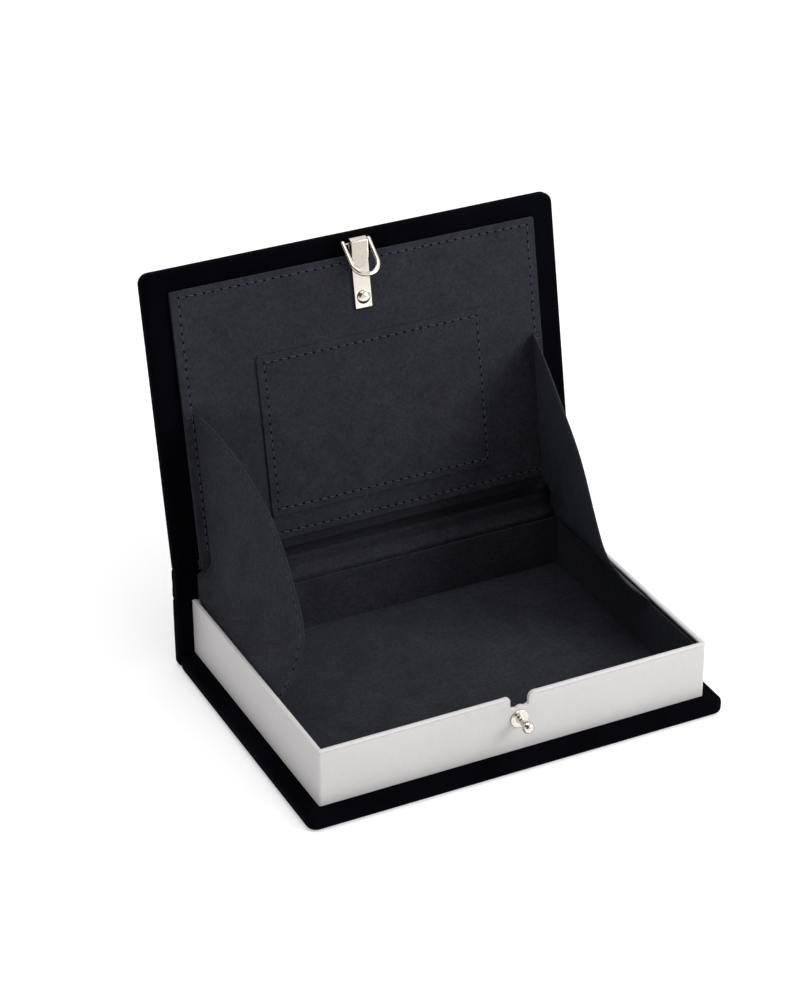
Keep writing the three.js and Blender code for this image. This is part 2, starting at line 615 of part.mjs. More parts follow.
function addStud() {
  const ballY = PAGE_FRONT - STUD_REACH;
  const flangeY = PAGE_FRONT - STUD_FLANGE_THICKNESS;
  const ball = STUD_BALL / 2;
  const neck = STUD_NECK / 2;
  const spigotEnd = SCREW_SEAT - GLUE;
  const profile = new THREE.Path();
  profile.moveTo(0, ballY - ball);
  profile.absarc(0, ballY, ball, -Math.PI / 2, Math.acos(neck / ball), false);
  profile.lineTo(neck, (ballY + flangeY) / 2);
  profile.lineTo(STUD_FOOT / 2, flangeY);
  profile.lineTo(STUD_FLANGE / 2, flangeY);
  profile.lineTo(STUD_FLANGE / 2, PAGE_FRONT);
  profile.lineTo(STUD_SPIGOT / 2, PAGE_FRONT);
  profile.lineTo(STUD_SPIGOT / 2, spigotEnd);
  profile.lineTo(SCREW_SHANK / 2 + FIT, spigotEnd);
  profile.lineTo(SCREW_SHANK / 2 + FIT, SCREW_SEAT - SCREW_LENGTH - FIT);
  profile.lineTo(0, SCREW_SEAT - SCREW_LENGTH - FIT);
  const stud = new THREE.LatheGeometry(profile.getPoints(6), SIDES);
  addMesh(part, 'ball_stud', toSolid(stud.translate(CLASP_X, 0, STUD_Z)), metal);

  const screw = new THREE.LatheGeometry([
    new THREE.Vector2(0, SCREW_SEAT - SCREW_LENGTH),
    new THREE.Vector2(SCREW_SHANK / 2, SCREW_SEAT - SCREW_LENGTH),
    new THREE.Vector2(SCREW_SHANK / 2, SCREW_SEAT),
    new THREE.Vector2(SCREW_HEAD / 2, SCREW_SEAT),
    new THREE.Vector2(SCREW_HEAD / 2, SCREW_SEAT + SCREW_HEAD_THICKNESS),
    new THREE.Vector2(0, SCREW_SEAT + SCREW_HEAD_THICKNESS),
  ], SIDES);
  addMesh(part, 'stud_screw', toSolid(screw.translate(CLASP_X, 0, STUD_Z)), metal);
}

// A sheet that is even in thickness across X, its middle given as rows of points
function softSheet(side, rows, thickness) {
  const columns = rows[0].length;
  const ordered = side > 0 ? rows : [...rows].reverse();
  const skins = [side, -side].flatMap((way) => ordered.flat().map(
    (point) => [point.x + way * thickness / 2, point.y, point.z],
  ));
  const at = (skin, row, column) => (skin * rows.length + row) * columns + column;
  const indices = [];
  const quad = (a, b, c, d) => indices.push(a, b, c, a, c, d);
  const end = columns - 1;
  for (let row = 0; row < rows.length - 1; row += 1) {
    for (let column = 0; column < end; column += 1) {
      quad(at(0, row, column), at(0, row, column + 1), at(0, row + 1, column + 1), at(0, row + 1, column));
      quad(at(1, row, column), at(1, row + 1, column), at(1, row + 1, column + 1), at(1, row, column + 1));
    }
    quad(at(0, row, 0), at(0, row + 1, 0), at(1, row + 1, 0), at(1, row, 0));
    quad(at(0, row, end), at(1, row, end), at(1, row + 1, end), at(0, row + 1, end));
  }
  for (let column = 0; column < end; column += 1) {
    const last = rows.length - 1;
    quad(at(0, 0, column), at(1, 0, column), at(1, 0, column + 1), at(0, 0, column + 1));
    quad(at(0, last, column), at(0, last, column + 1), at(1, last, column + 1), at(1, last, column));
  }
  const geometry = new THREE.BufferGeometry();
  geometry.setAttribute('position', new THREE.Float32BufferAttribute(skins.flat(), 3));
  geometry.setIndex(indices);
  return toSolid(geometry);
}

// Each gusset is a cone of suede about the hinge, folded in the middle into two leaves.
// The upper leaf is drawn as it lies on the closed lid, with a flange under its seam.
function addGussets() {
  const edge = new THREE.CatmullRomCurve3(GUSSET_EDGE_SHARES.map((values) => new THREE.Vector3(...values)));
  const seamX = PANEL_X - GUSSET_SEAM_INSET;
  const seamZ = PANEL_FACE - GLUE - GUSSET / 2;
  const row = (side, along, lift, turned) => Array.from({ length: REACH_STEPS + 1 }, (unused, step) => {
    const out = step / REACH_STEPS;
    const [share, reach, sag] = edge.getPoint(along).toArray();
    const radius = THREE.MathUtils.lerp(GUSSET_ROOT, reach * GUSSET_REACH, out);
    const lidAngle = LID_OPEN - Math.asin((HINGE_Z - seamZ) / radius);
    const trayAngle = -Math.asin((HINGE_Z - LINER_TOP) / radius);
    const angle = THREE.MathUtils.lerp(lidAngle, trayAngle, share) + lift / radius - turned;
    const rootX = THREE.MathUtils.lerp(seamX, GUSSET_X, share);
    return new THREE.Vector3(
      side * THREE.MathUtils.lerp(rootX, GUSSET_X - sag * GUSSET_SAG, out),
      HINGE_Y - radius * Math.cos(angle),
      HINGE_Z + radius * Math.sin(angle),
    );
  });
  const leaf = (side, from, to, steps, lift, turned) => Array.from({ length: steps + 1 }, (unused, step) => {
    const along = THREE.MathUtils.lerp(from, to, step / steps);
    return row(side, along, along === GUSSET_CREASE_SHARE ? lift : 0, turned);
  });
  for (const [name, side] of [['left', -1], ['right', 1]]) {
    const upper = leaf(side, 0, GUSSET_CREASE_SHARE, UPPER_STEPS, GUSSET_LEAF_GAP / 2, LID_OPEN);
    const lower = leaf(side, GUSSET_CREASE_SHARE, 1, LOWER_STEPS, -GUSSET_LEAF_GAP / 2, 0);
    lower.push(lower.at(-1).map((point) => point.clone().setZ(LINER_TOP - GUSSET_TUCK)));
    const [inner, outer] = [side * (seamX - GUSSET / 2), side * PANEL_X].sort((a, b) => a - b);
    const flangeY = [upper[0].at(-1).y, PANEL_FOOT_Y];
    const flange = block(inner, outer, ...flangeY, seamZ - GUSSET / 2, seamZ + GUSSET / 2);
    addMesh(lidContents, `${name}_gusset_upper`, softSheet(side, upper, GUSSET).add(flange), suede);
    addMesh(part, `${name}_gusset_lower`, softSheet(side, lower, GUSSET), suede);
  }
}

addCovers();
addTray();
addLiners();
addHingeCloths();
addGussets();
addLidPanel();
addClasp();
addRing();
addStud();

// The lid turns back about the hinge line from where it lies when closed
lidContents.position.set(0, -HINGE_Y, -HINGE_Z);
lid.position.set(0, HINGE_Y, HINGE_Z);
lid.rotation.x = -LID_OPEN;
lid.add(lidContents);
part.add(lid);

export default part;
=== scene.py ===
"""The looks of a keepsake box made like a bound book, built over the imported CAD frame."""
import json
import math

import bmesh
import bpy
from mathutils import Matrix, Vector, noise


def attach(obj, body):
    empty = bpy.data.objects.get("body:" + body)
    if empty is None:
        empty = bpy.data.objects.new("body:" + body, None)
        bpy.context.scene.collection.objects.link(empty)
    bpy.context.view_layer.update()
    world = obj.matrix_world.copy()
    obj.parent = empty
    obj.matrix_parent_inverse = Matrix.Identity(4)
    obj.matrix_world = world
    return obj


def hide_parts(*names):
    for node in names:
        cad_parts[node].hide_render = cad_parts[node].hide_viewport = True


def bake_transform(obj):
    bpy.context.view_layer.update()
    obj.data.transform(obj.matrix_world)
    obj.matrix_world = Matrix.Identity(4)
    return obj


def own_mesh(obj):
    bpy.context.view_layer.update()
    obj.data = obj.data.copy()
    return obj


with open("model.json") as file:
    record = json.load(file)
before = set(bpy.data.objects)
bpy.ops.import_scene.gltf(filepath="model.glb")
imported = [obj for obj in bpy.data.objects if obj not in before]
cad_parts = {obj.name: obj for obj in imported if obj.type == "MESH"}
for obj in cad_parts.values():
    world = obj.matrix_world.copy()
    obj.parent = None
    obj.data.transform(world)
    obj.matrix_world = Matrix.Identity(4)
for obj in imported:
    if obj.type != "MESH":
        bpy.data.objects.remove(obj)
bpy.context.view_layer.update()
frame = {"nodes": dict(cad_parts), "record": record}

# Lengths below are millimetres, and meshes are made in metres
MM = 0.001
X, Y, Z = range(3)

# Joints, and the turn that carries the closed lid to where it stands open
JOINTS = {joint["name"]: joint for joint in frame["record"]["behaviour"]["joints"]}
HINGE = Vector(JOINTS["lid_hinge"]["pos_m"]) / MM
LID_OPEN = math.radians(JOINTS["lid_hinge"]["range_deg"][1])
LID = Matrix.Translation(HINGE) @ Matrix.Rotation(-LID_OPEN, 4, "X") @ Matrix.Translation(-HINGE)
CLOSED = LID.inverted()


def extent(node, turn=Matrix()):
    """Lowest and highest corners of a CAD node in millimetres, after a turn."""
    solid = frame["nodes"][node]
    points = [turn @ (solid.matrix_world @ vertex.co / MM) for vertex in solid.data.vertices]
    low = Vector([min(point[axis] for point in points) for axis in range(3)])
    high = Vector([max(point[axis] for point in points) for axis in range(3)])
    return low, high


BACK_COVER = extent("back_cover_velvet")
SPINE = extent("spine_velvet")
FRONT_COVER = extent("front_cover_velvet", CLOSED)
PAGES = extent("page_wrap")
LINING = extent("wall_lining")
FRONT_LINER = extent("front_liner")
BACK_LINER = extent("back_liner")
LEFT_LINER = extent("left_liner")
RIGHT_LINER = extent("right_liner")
FLOOR_LINER = extent("floor_liner")
BACK_WALL = extent("back_wall_board")
PANEL = extent("lid_panel_suede", CLOSED)
POCKET = extent("pocket_panel", CLOSED)
STRAP = extent("clasp_strap", CLOSED)
RIVET = extent("clasp_rivet", CLOSED)
STUD = extent("ball_stud")
PIN = CLOSED @ (Vector(JOINTS["clasp_ring_swing"]["pos_m"]) / MM)

# Sizes that the boxes don't show
COVER_EDGE = 2.6
COVER_CORNER = 5.0
HINGE_CORNER = 2.7
VELVET = 0.9
TURN_IN = 15.0
WALL = 2.2
PAGE_CORNER = 1.2
CLASP_X = (STRAP[0].x + STRAP[1].x) / 2
NOTCH_HALF = 4.6
NOTCH_DEPTH = 6.1
NOTCH_LEFT_SHOULDER = 1.9
NOTCH_RIGHT_SHOULDER = 3.2
NOTCH_CORNER = 1.2
NOTCH_CLEARANCE = 0.8
# How far the worn foot of the notch stands up, from left to right
NOTCH_RAGGED = [-0.2, -0.4, -0.3, 0.1, 0.35, 0.25, 0.3, -0.1, -0.25]
STRAP_HALF = 4.2
STRAP_THICKNESS = 1.3
STRAP_EDGE = 0.3
STRAP_CORNER = 0.4
RING_WIRE = 0.95
RING_HALF = 6.5
RING_LENGTH = 17.1
RING_REST = math.radians(43)
TONGUE_LENGTH = 12.0
TONGUE_LEAN = math.radians(14)
TONGUE_YAW = math.tan(math.radians(8))
TIP_LENGTH = 6.4
RING_BOW = 1.05
RING_BAR = 0.38
RING_ASIDE = 0.5
GUSSET = 0.6
SUEDE = 0.4
GLUE = 0.1
STITCH_PITCH = 4.2
STITCH_LENGTH = 2.9
THREAD = 0.19


def lerp(a, b, share):
    return a + (b - a) * share


def smooth(share):
    share = min(max(share, 0.0), 1.0)
    return share * share * (3 - 2 * share)


# Materials
def new_material(name):
    material = bpy.data.materials.new(name)
    material.use_nodes = True
    return material, material.node_tree


def srgb(red, green, blue):
    """A colour as a shader takes it, from 0 to 255 as a screen shows it."""
    linear = [c / 255 / 12.92 if c <= 10 else ((c / 255 + 0.055) / 1.055) ** 2.4 for c in (red, green, blue)]
    return (*linear, 1.0)


def add_node(tree, kind, inputs, node=None):
    """A shader node, with each named input given a value or another node's result."""
    node = node or tree.nodes.new(kind)
    for name, value in inputs.items():
        if isinstance(value, bpy.types.NodeSocket):
            tree.links.new(value, node.inputs[name])
        else:
            node.inputs[name].default_value = value
    return node


def texture(tree, kind, stretch, inputs):
    """A texture fixed to the piece, its scale in repeats a metre."""
    place = tree.nodes.new("ShaderNodeTexCoord").outputs["Object"]
    mapping = add_node(tree, "ShaderNodeMapping", {"Vector": place, "Scale": stretch})
    return add_node(tree, kind, {"Vector": mapping.outputs["Vector"], **inputs})


def mottle(tree, scale, detail, rough=0.5, distortion=0.0, stretch=(1, 1, 1)):
    """Cloudy noise."""
    inputs = {"Scale": scale, "Detail": detail, "Roughness": rough, "Distortion": distortion}
    return texture(tree, "ShaderNodeTexNoise", stretch, inputs).outputs["Fac"]


def cells(tree, scale):
    """The distance to the nearest of scattered points."""
    return texture(tree, "ShaderNodeTexVoronoi", (1, 1, 1), {"Scale": scale}).outputs["Distance"]


def ramp(tree, source, start, end, low, high):
    """A colour that runs from low to high while a value runs from start to end."""
    node = add_node(tree, "ShaderNodeValToRGB", {"Fac": source})
    for element, position, colour in zip(node.color_ramp.elements, (start, end), (low, high)):
        element.position = position
        element.color = colour
    return node.outputs["Color"]


def tones(tree, source, start, end, dark, light):
    return ramp(tree, source, start, end, srgb(*dark), srgb(*light))


def levels(tree, source, start, end, low, high):
    return ramp(tree, source, start, end, (low, low, low, 1), (high, high, high, 1))


def blended(tree, mode, share, first, second):
    node = add_node(tree, "ShaderNodeMixRGB", {"Fac": share, "Color1": first, "Color2": second})
    node.blend_type = mode
    return node.outputs["Color"]


def finish(material, inputs, *bumps):
    """Sets a surface's inputs, and lays bumps over each other as (height, strength, depth in mm)."""
    tree = material.node_tree
    for height, strength, depth in bumps:
        bump = {"Height": height, "Strength": strength, "Distance": depth * MM}
        if "Normal" in inputs:
            bump["Normal"] = inputs["Normal"]
        inputs["Normal"] = add_node(tree, "ShaderNodeBump", bump).outputs["Normal"]
    add_node(tree, None, inputs, tree.nodes["Principled BSDF"])
    return material


def velvet_material():
    material, tree = new_material("velvet")
    brushed = mottle(tree, 26, 3, 0.55, 0.6)
    pile = mottle(tree, 2600, 2, 0.6)
    base = tones(tree, brushed, 0.3, 0.7, (2, 2, 4), (5, 5, 11))
    lint = tones(tree, cells(tree, 170), 0.0, 0.03, (22, 23, 34), (0, 0, 0))
    return finish(material, {
        "Base Color": blended(tree, "ADD", 1.0, base, lint), "Roughness": 0.95, "Specular IOR Level": 0.02,
        "Sheen Weight": 0.03, "Sheen Roughness": 0.3, "Sheen Tint": srgb(70, 82, 168),
    }, (brushed, 0.25, 1.2), (pile, 0.5, 0.18))


def suede_material(name, dark, light):
    material, tree = new_material(name)
    clouds = mottle(tree, 60, 4, 0.6, 0.6)
    streaks = mottle(tree, 620, 4, 0.65, 0.8)
    nap = mottle(tree, 2300, 3, 0.65)
    broad = tones(tree, clouds, 0.33, 0.68, dark, light)
    fine = tones(tree, streaks, 0.36, 0.62, (172, 172, 177), (255, 255, 255))
    hairs = tones(tree, nap, 0.3, 0.7, (192, 192, 195), (255, 255, 255))
    colour = blended(tree, "MULTIPLY", 0.85, broad, fine)
    return finish(material, {
        "Base Color": blended(tree, "MULTIPLY", 0.7, colour, hairs), "Roughness": 0.92,
        "Specular IOR Level": 0.2, "Sheen Weight": 0.08, "Sheen Roughness": 0.5,
        "Sheen Tint": srgb(150, 155, 180),
    }, (clouds, 0.3, 0.4), (streaks, 0.45, 0.16), (nap, 0.5, 0.12))


def leatherette_material():
    material, tree = new_material("leatherette")
    creases = mottle(tree, 420, 5, 0.6, 0.5)
    base = tones(tree, mottle(tree, 22, 3), 0.35, 0.65, (189, 187, 186), (193, 191, 190))
    shade = tones(tree, creases, 0.3, 0.6, (247, 247, 247), (255, 255, 255))
    return finish(material, {
        "Base Color": blended(tree, "MULTIPLY", 0.6, base, shade), "Specular IOR Level": 0.8,
        "Roughness": levels(tree, creases, 0.3, 0.7, 0.4, 0.5),
    }, (creases, 0.1, 0.12), (cells(tree, 1500), 0.1, 0.05))


def metal_material():
    material, tree = new_material("gold_metal")
    wear = mottle(tree, 900, 3)
    brushing = mottle(tree, 3000, 2, stretch=(1, 0.06, 0.06))
    return finish(material, {
        "Base Color": tones(tree, wear, 0.35, 0.65, (210, 203, 190), (215, 209, 197)), "Metallic": 1.0,
        "Roughness": levels(tree, wear, 0.3, 0.75, 0.065, 0.08),
    }, (brushing, 0.01, 0.005))


def board_material():
    material, tree = new_material("greyboard")
    fibres = mottle(tree, 700, 6, 0.7, stretch=(1, 0.3, 1))
    colour = tones(tree, fibres, 0.3, 0.7, (128, 122, 112), (163, 157, 146))
    return finish(material, {"Base Color": colour, "Roughness": 0.9}, (fibres, 0.4, 0.1))


def foam_material():
    material, tree = new_material("padding")
    pores = cells(tree, 1300)
    colour = tones(tree, pores, 0.0, 0.5, (168, 160, 132), (222, 214, 190))
    return finish(material, {"Base Color": colour, "Roughness": 0.95}, (pores, 0.6, 0.3))


def thread_material(name, dark, light, gloss):
    material, tree = new_material(name)
    twist = mottle(tree, 2400, 3, 0.6)
    colour = tones(tree, twist, 0.35, 0.65, dark, light)
    looks = {"Base Color": colour, "Roughness": 0.8, "Specular IOR Level": gloss}
    return finish(material, looks, (twist, 0.5, 0.1))


VELVET_CLOTH = velvet_material()
SUEDE_CLOTH = suede_material("suede", (36, 37, 43), (45, 46, 54))
# A darker copy of the suede, painted shade for the hinge lining's recess
SUEDE_PAINTED_SHADE = suede_material("suede_painted_shade", (27, 28, 33), (34, 35, 41))
LEATHERETTE = leatherette_material()
METAL = metal_material()
GREYBOARD = board_material()
FOAM = foam_material()
THREAD_NAVY = thread_material("thread", (50, 50, 66), (70, 70, 88), 0.15)
# Near-black, glossless discs over the needle holes: painted shade of the holes
PAINTED_HOLE_SHADE = thread_material("painted_hole_shade", (2, 2, 10), (5, 4, 22), 0.0)


# Meshes
def add_piece(name, mesh_data, material):
    obj = bpy.data.objects.new(name, mesh_data)
    bpy.context.scene.collection.objects.link(obj)
    for one in material if isinstance(material, (list, tuple)) else [material]:
        mesh_data.materials.append(one)
    return obj


def dress(obj, body, slot, *nodes):
    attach(obj, body)
    if nodes:
        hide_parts(*nodes)
    return obj


def mesh_piece(name, points, faces, material, place=Matrix(), tidy=True):
    """A mesh from points in millimetres, turned into place."""
    data = bpy.data.meshes.new(name)
    data.from_pydata([(place @ Vector(point)) * MM for point in points], [], faces)
    if tidy:
        bm = bmesh.new()
        bm.from_mesh(data)
        bmesh.ops.remove_doubles(bm, verts=bm.verts, dist=0.002 * MM)
        bmesh.ops.recalc_face_normals(bm, faces=bm.faces)
        bm.to_mesh(data)
        bm.free()
    obj = add_piece(name, data, material)
    data.shade_smooth()
    return obj


def settle(obj):
    """Turns a piece's modifiers into its mesh."""
    bpy.context.view_layer.update()
    graph = bpy.context.evaluated_depsgraph_get()
    settled = obj.evaluated_get(graph)
    made = bpy.data.meshes.new_from_object(settled, preserve_all_data_layers=True, depsgraph=graph)
    old = obj.data
    obj.modifiers.clear()
    obj.data = made
    bpy.data.meshes.remove(old)
    return obj


def soften(obj, width):
    """Rounds a piece's edges by a width, and keeps its flat faces flat in the shading."""
    if width:
        bevel = obj.modifiers.new("edges", "BEVEL")
        bevel.width = width * MM
        bevel.segments = 3
        bevel.limit_method = "ANGLE"
        bevel.angle_limit = math.radians(30)
    normals = obj.modifiers.new("shading", "WEIGHTED_NORMAL")
    normals.keep_sharp = True
    return settle(obj)


def cut_away(obj, cutter):
    """Takes one mesh's room out of another."""
    taking = obj.modifiers.new("cut", "BOOLEAN")
    taking.operation = "DIFFERENCE"
    taking.solver = "EXACT"
    taking.object = cutter
    settle(obj)
    bpy.data.objects.remove(cutter)
    return obj


def tube_faces(rows, count):
    """Faces over rows of points that go round, closed at both ends."""
    faces = [
        (r * count + i, r * count + (i + 1) % count, (r + 1) * count + (i + 1) % count, (r + 1) * count + i)
        for r in range(rows - 1) for i in range(count)
    ]
    last = (rows - 1) * count
    return [*faces, tuple(reversed(range(count))), tuple(range(last, last + count))]


def extruded(outline, low, high):
    """Points and faces of a plan outline drawn up from low to high."""
    return [(x, y, z) for z in (low, high) for x, y in outline], tube_faces(2, len(outline))


def lathed(profile, centre, sides=64):
    """Points and faces of a profile of (radius, y) turned about the Y direction through a centre."""
    turns = [math.tau * step / sides for step in range(sides)]
    points = [
        (centre.x + radius * math.cos(angle), y, centre.z + radius * math.sin(angle))
        for radius, y in profile for angle in turns
    ]
    return points, tube_faces(len(profile), sides)


def arc(centre_x, centre_y, radius, start, end, steps):
    """Points along an arc, its angles in degrees."""
    angles = [math.radians(lerp(start, end, i / steps)) for i in range(steps + 1)]
    return [(centre_x + radius * math.cos(a), centre_y + radius * math.sin(a)) for a in angles]


def shrunk(box, left, right, front, back):
    """A box drawn in at its four sides."""
    return box[0] + Vector((left, front, 0)), box[1] - Vector((right, back, 0))


def rectangle(box, across=X, along=Y):
    """The outline of a box's side."""
    (x0, y0), (x1, y1) = ((corner[across], corner[along]) for corner in box)
    return [(x0, y0), (x1, y0), (x1, y1), (x0, y1)]


def rounded(box, radius, across=X, along=Y, steps=5):
    """The outline of a box's side, with round corners."""
    (x0, y0), (x1, y1) = ((corner[across], corner[along]) for corner in box)
    x0, y0, x1, y1 = x0 + radius, y0 + radius, x1 - radius, y1 - radius
    pivots = ((x1, y0, -90), (x1, y1, 0), (x0, y1, 90), (x0, y0, 180))
    return [point for x, y, start in pivots for point in arc(x, y, radius, start, start + 90, steps)]


# Turns that stand a plan outline up, with its thickness along X or along Y
STAND = {
    X: Matrix(((0, 0, 1, 0), (1, 0, 0, 0), (0, 1, 0, 0), (0, 0, 0, 1))),
    Y: Matrix(((1, 0, 0, 0), (0, 0, 1, 0), (0, 1, 0, 0), (0, 0, 0, 1))),
    Z: Matrix(),
}


def slab(name, outline, box, thin, material, turn=Matrix()):
    """A flat piece with an outline of its own, as thick as a box."""
    return mesh_piece(name, *extruded(outline, box[0][thin], box[1][thin]), material, turn @ STAND[thin])


def grid_faces(rows, columns, start=0):
    """Faces over rows of points that lie side by side."""
    corners = [start + row * columns + column for row in range(rows - 1) for column in range(columns - 1)]
    return [(a, a + 1, a + columns + 1, a + columns) for a in corners]


# Padded covers
# Lines round a cover's edge, as distances in from it
EDGE_LINES = [0, 0.6, 1.3, 2.0, COVER_EDGE]


def grid_lines(length, step=3.2):
    """Lines across a padded board, closer together near both ends."""
    near = [*EDGE_LINES, 3.7, COVER_CORNER]
    middle = length - 2 * near[-1]
    count = max(round(middle / step), 1)
    between = [near[-1] + middle * i / count for i in range(1, count)]
    return [*near, *between, *(length - n for n in reversed(near))]


def cover_point(x, y, z, width, length, thickness, crown, flat, radii):
    """A point of a plain box moved to where it lies on a padded board with round edges and corners."""
    corner = radii[0] if y < length / 2 else radii[1]
    pivot_x = min(max(x, corner), width - corner)
    pivot_y = min(max(y, corner), length - corner)
    u, v = (x - pivot_x) / corner, (y - pivot_y) / corner
    if u and v:
        x = pivot_x + corner * u * math.sqrt(1 - v * v / 2)
        y = pivot_y + corner * v * math.sqrt(1 - u * u / 2)
        away = Vector((x - pivot_x, y - pivot_y))
        inset = corner - away.length
        outward = away.normalized()
    else:
        sides = [(x, (-1, 0)), (width - x, (1, 0)), (y, (0, -1)), (length - y, (0, 1))]
        inset, outward = min(sides, key=lambda side: side[0])
        outward = Vector(outward)
    inner = max(inset, COVER_EDGE)
    level = min(max(z, COVER_EDGE), thickness - COVER_EDGE)
    lean = Vector((inset - inner, z - level))
    if lean.length > 1e-6:
        lean = lean.normalized() * COVER_EDGE
    move = inner + lean.x - inset
    x -= outward.x * move
    y -= outward.y * move
    z = level + lean.y
    outer = 1 - smooth(z / (0.6 * thickness))
    swell = crown * (1 - math.exp(-max(inner + lean.x, 0) / 11))
    ripple = 0.12 * noise.noise(Vector((x / 31, y / 27, length)))
    if not flat:
        z += outer * (0.55 - swell + ripple)
    return Vector((x, y, z))


def padded_cover(node, width, length, place, body, radii, crown=0, flat=False, turn_in=TURN_IN):
    """A velvet skin round a board, open inside the turned-in cloth. Its outer face is at zero.

    Its plan corners have one radius at the start of its length and another at the end.
    """
    thickness = BACK_COVER[1].z
    xs, ys = grid_lines(width), grid_lines(length)
    zs = [*EDGE_LINES, *(thickness - edge for edge in reversed(EDGE_LINES))]
    last_x, last_y, last_z = len(xs) - 1, len(ys) - 1, len(zs) - 1
    points, faces, found = [], [], {}

    def face(*corners):
        made = []
        for i, j, k in corners:
            if (i, j, k) not in found:
                found[i, j, k] = len(points)
                points.append(cover_point(xs[i], ys[j], zs[k], width, length, thickness, crown, flat, radii))
            made.append(found[i, j, k])
        faces.append(made)

    for i in range(last_x):
        for j in range(last_y):
            face((i, j, 0), (i, j + 1, 0), (i + 1, j + 1, 0), (i + 1, j, 0))
            x, y = (xs[i] + xs[i + 1]) / 2, (ys[j] + ys[j + 1]) / 2
            if min(x, width - x, y, length - y) < turn_in:
                face((i, j, last_z), (i + 1, j, last_z), (i + 1, j + 1, last_z), (i, j + 1, last_z))
    for k in range(last_z):
        for i in range(last_x):
            face((i, 0, k), (i + 1, 0, k), (i + 1, 0, k + 1), (i, 0, k + 1))
            face((i, last_y, k), (i, last_y, k + 1), (i + 1, last_y, k + 1), (i + 1, last_y, k))
        for j in range(last_y):
            face((0, j, k), (0, j, k + 1), (0, j + 1, k + 1), (0, j + 1, k))
            face((last_x, j, k), (last_x, j + 1, k), (last_x, j + 1, k + 1), (last_x, j, k + 1))
    name = node.removesuffix("_velvet")
    skin = mesh_piece(name, [(p.x - width / 2, p.y, p.z) for p in points], faces, VELVET_CLOTH)
    swell_skin(skin, thickness, flat)
    wall = skin.modifiers.new("cloth", "SOLIDIFY")
    wall.thickness = VELVET * MM
    wall.offset = -1
    settle(skin)
    skin.data.transform(Matrix.Scale(MM, 4) @ place @ Matrix.Scale(1 / MM, 4))
    skin.data.shade_smooth()
    dress(skin, body, "velvet", node)


CLOTH_FRAMES = 12
MOST_SWELL = 0.45
CLOTH = {
    "quality": 4, "mass": 0.2, "use_pressure": True, "uniform_pressure_force": 3.0, "tension_stiffness": 20,
    "compression_stiffness": 12, "bending_stiffness": 1.5, "vertex_group_mass": "held", "pin_stiffness": 1.0,
}


def swell_skin(skin, thickness, flat):
    """Lets the padding push the outer cloth out a little, held at the inner face."""
    start = [(vertex.co.copy(), vertex.normal.copy()) for vertex in skin.data.vertices]
    held = skin.vertex_groups.new(name="held")
    for vertex in skin.data.vertices:
        height = vertex.co.z / MM / thickness
        hold = 1.0 if flat and height < 0.1 else smooth((height - 0.35) / 0.3)
        held.add([vertex.index], hold, "REPLACE")
    cloth = skin.modifiers.new("padding", "CLOTH")
    for name, value in CLOTH.items():
        setattr(cloth.settings, name, value)
    cloth.settings.effector_weights.gravity = 0
    cloth.collision_settings.use_collision = False
    cloth.point_cache.frame_start = 1
    cloth.point_cache.frame_end = CLOTH_FRAMES
    for number in range(1, CLOTH_FRAMES + 1):
        bpy.context.scene.frame_set(number)
    graph = bpy.context.evaluated_depsgraph_get()
    moved = [vertex.co.copy() for vertex in skin.evaluated_get(graph).data.vertices]
    skin.modifiers.clear()
    skin.vertex_groups.clear()
    bpy.context.scene.frame_set(1)
    for vertex, (before, outward), after in zip(skin.data.vertices, start, moved):
        vertex.co = before + outward * min(max((after - before).dot(outward), 0), MOST_SWELL * MM)


padded_cover(
    "back_cover_velvet", 2 * BACK_COVER[1].x, BACK_COVER[1].y - BACK_COVER[0].y,
    Matrix.Translation((0, BACK_COVER[0].y, 0)), "tray", radii=(COVER_CORNER, HINGE_CORNER), flat=True,
)
padded_cover(
    "spine_velvet", 2 * SPINE[1].x, SPINE[1].z,
    Matrix.Translation((0, SPINE[1].y, 0)) @ Matrix.Rotation(math.pi / 2, 4, "X"), "tray",
    radii=(HINGE_CORNER, HINGE_CORNER), crown=0.8, turn_in=12,
)
front_place = Matrix.Translation((0, FRONT_COVER[1].y, FRONT_COVER[1].z)) @ Matrix.Rotation(math.pi, 4, "X")
padded_cover(
    "front_cover_velvet", 2 * FRONT_COVER[1].x, FRONT_COVER[1].y - FRONT_COVER[0].y, LID @ front_place, "lid",
    radii=(HINGE_CORNER, COVER_CORNER), crown=0.9,
)


def padding_sheet(node, body, turn=Matrix()):
    """The foam sheet between a cover's board and its velvet."""
    box = extent(node, turn.inverted())
    thin = min((X, Y, Z), key=lambda axis: box[1][axis] - box[0][axis])
    across, along = [axis for axis in (X, Y, Z) if axis != thin]
    outline = rounded(box, COVER_CORNER - 1, across, along)
    foam = soften(slab(f"{node}_foam", outline, box, thin, FOAM, turn), 0.6)
    dress(foam, body, "padding", node)


padding_sheet("back_cover_padding", "tray")
padding_sheet("spine_padding", "tray")
padding_sheet("front_cover_padding", "lid", LID)


# Page-coloured walls
RIM = PAGES[1].z
PAGE_X = PAGES[1].x
PAGE_FRONT = PAGES[0].y
PAGE_BACK = PAGES[1].y
PAGE_FOOT = PAGES[0].z


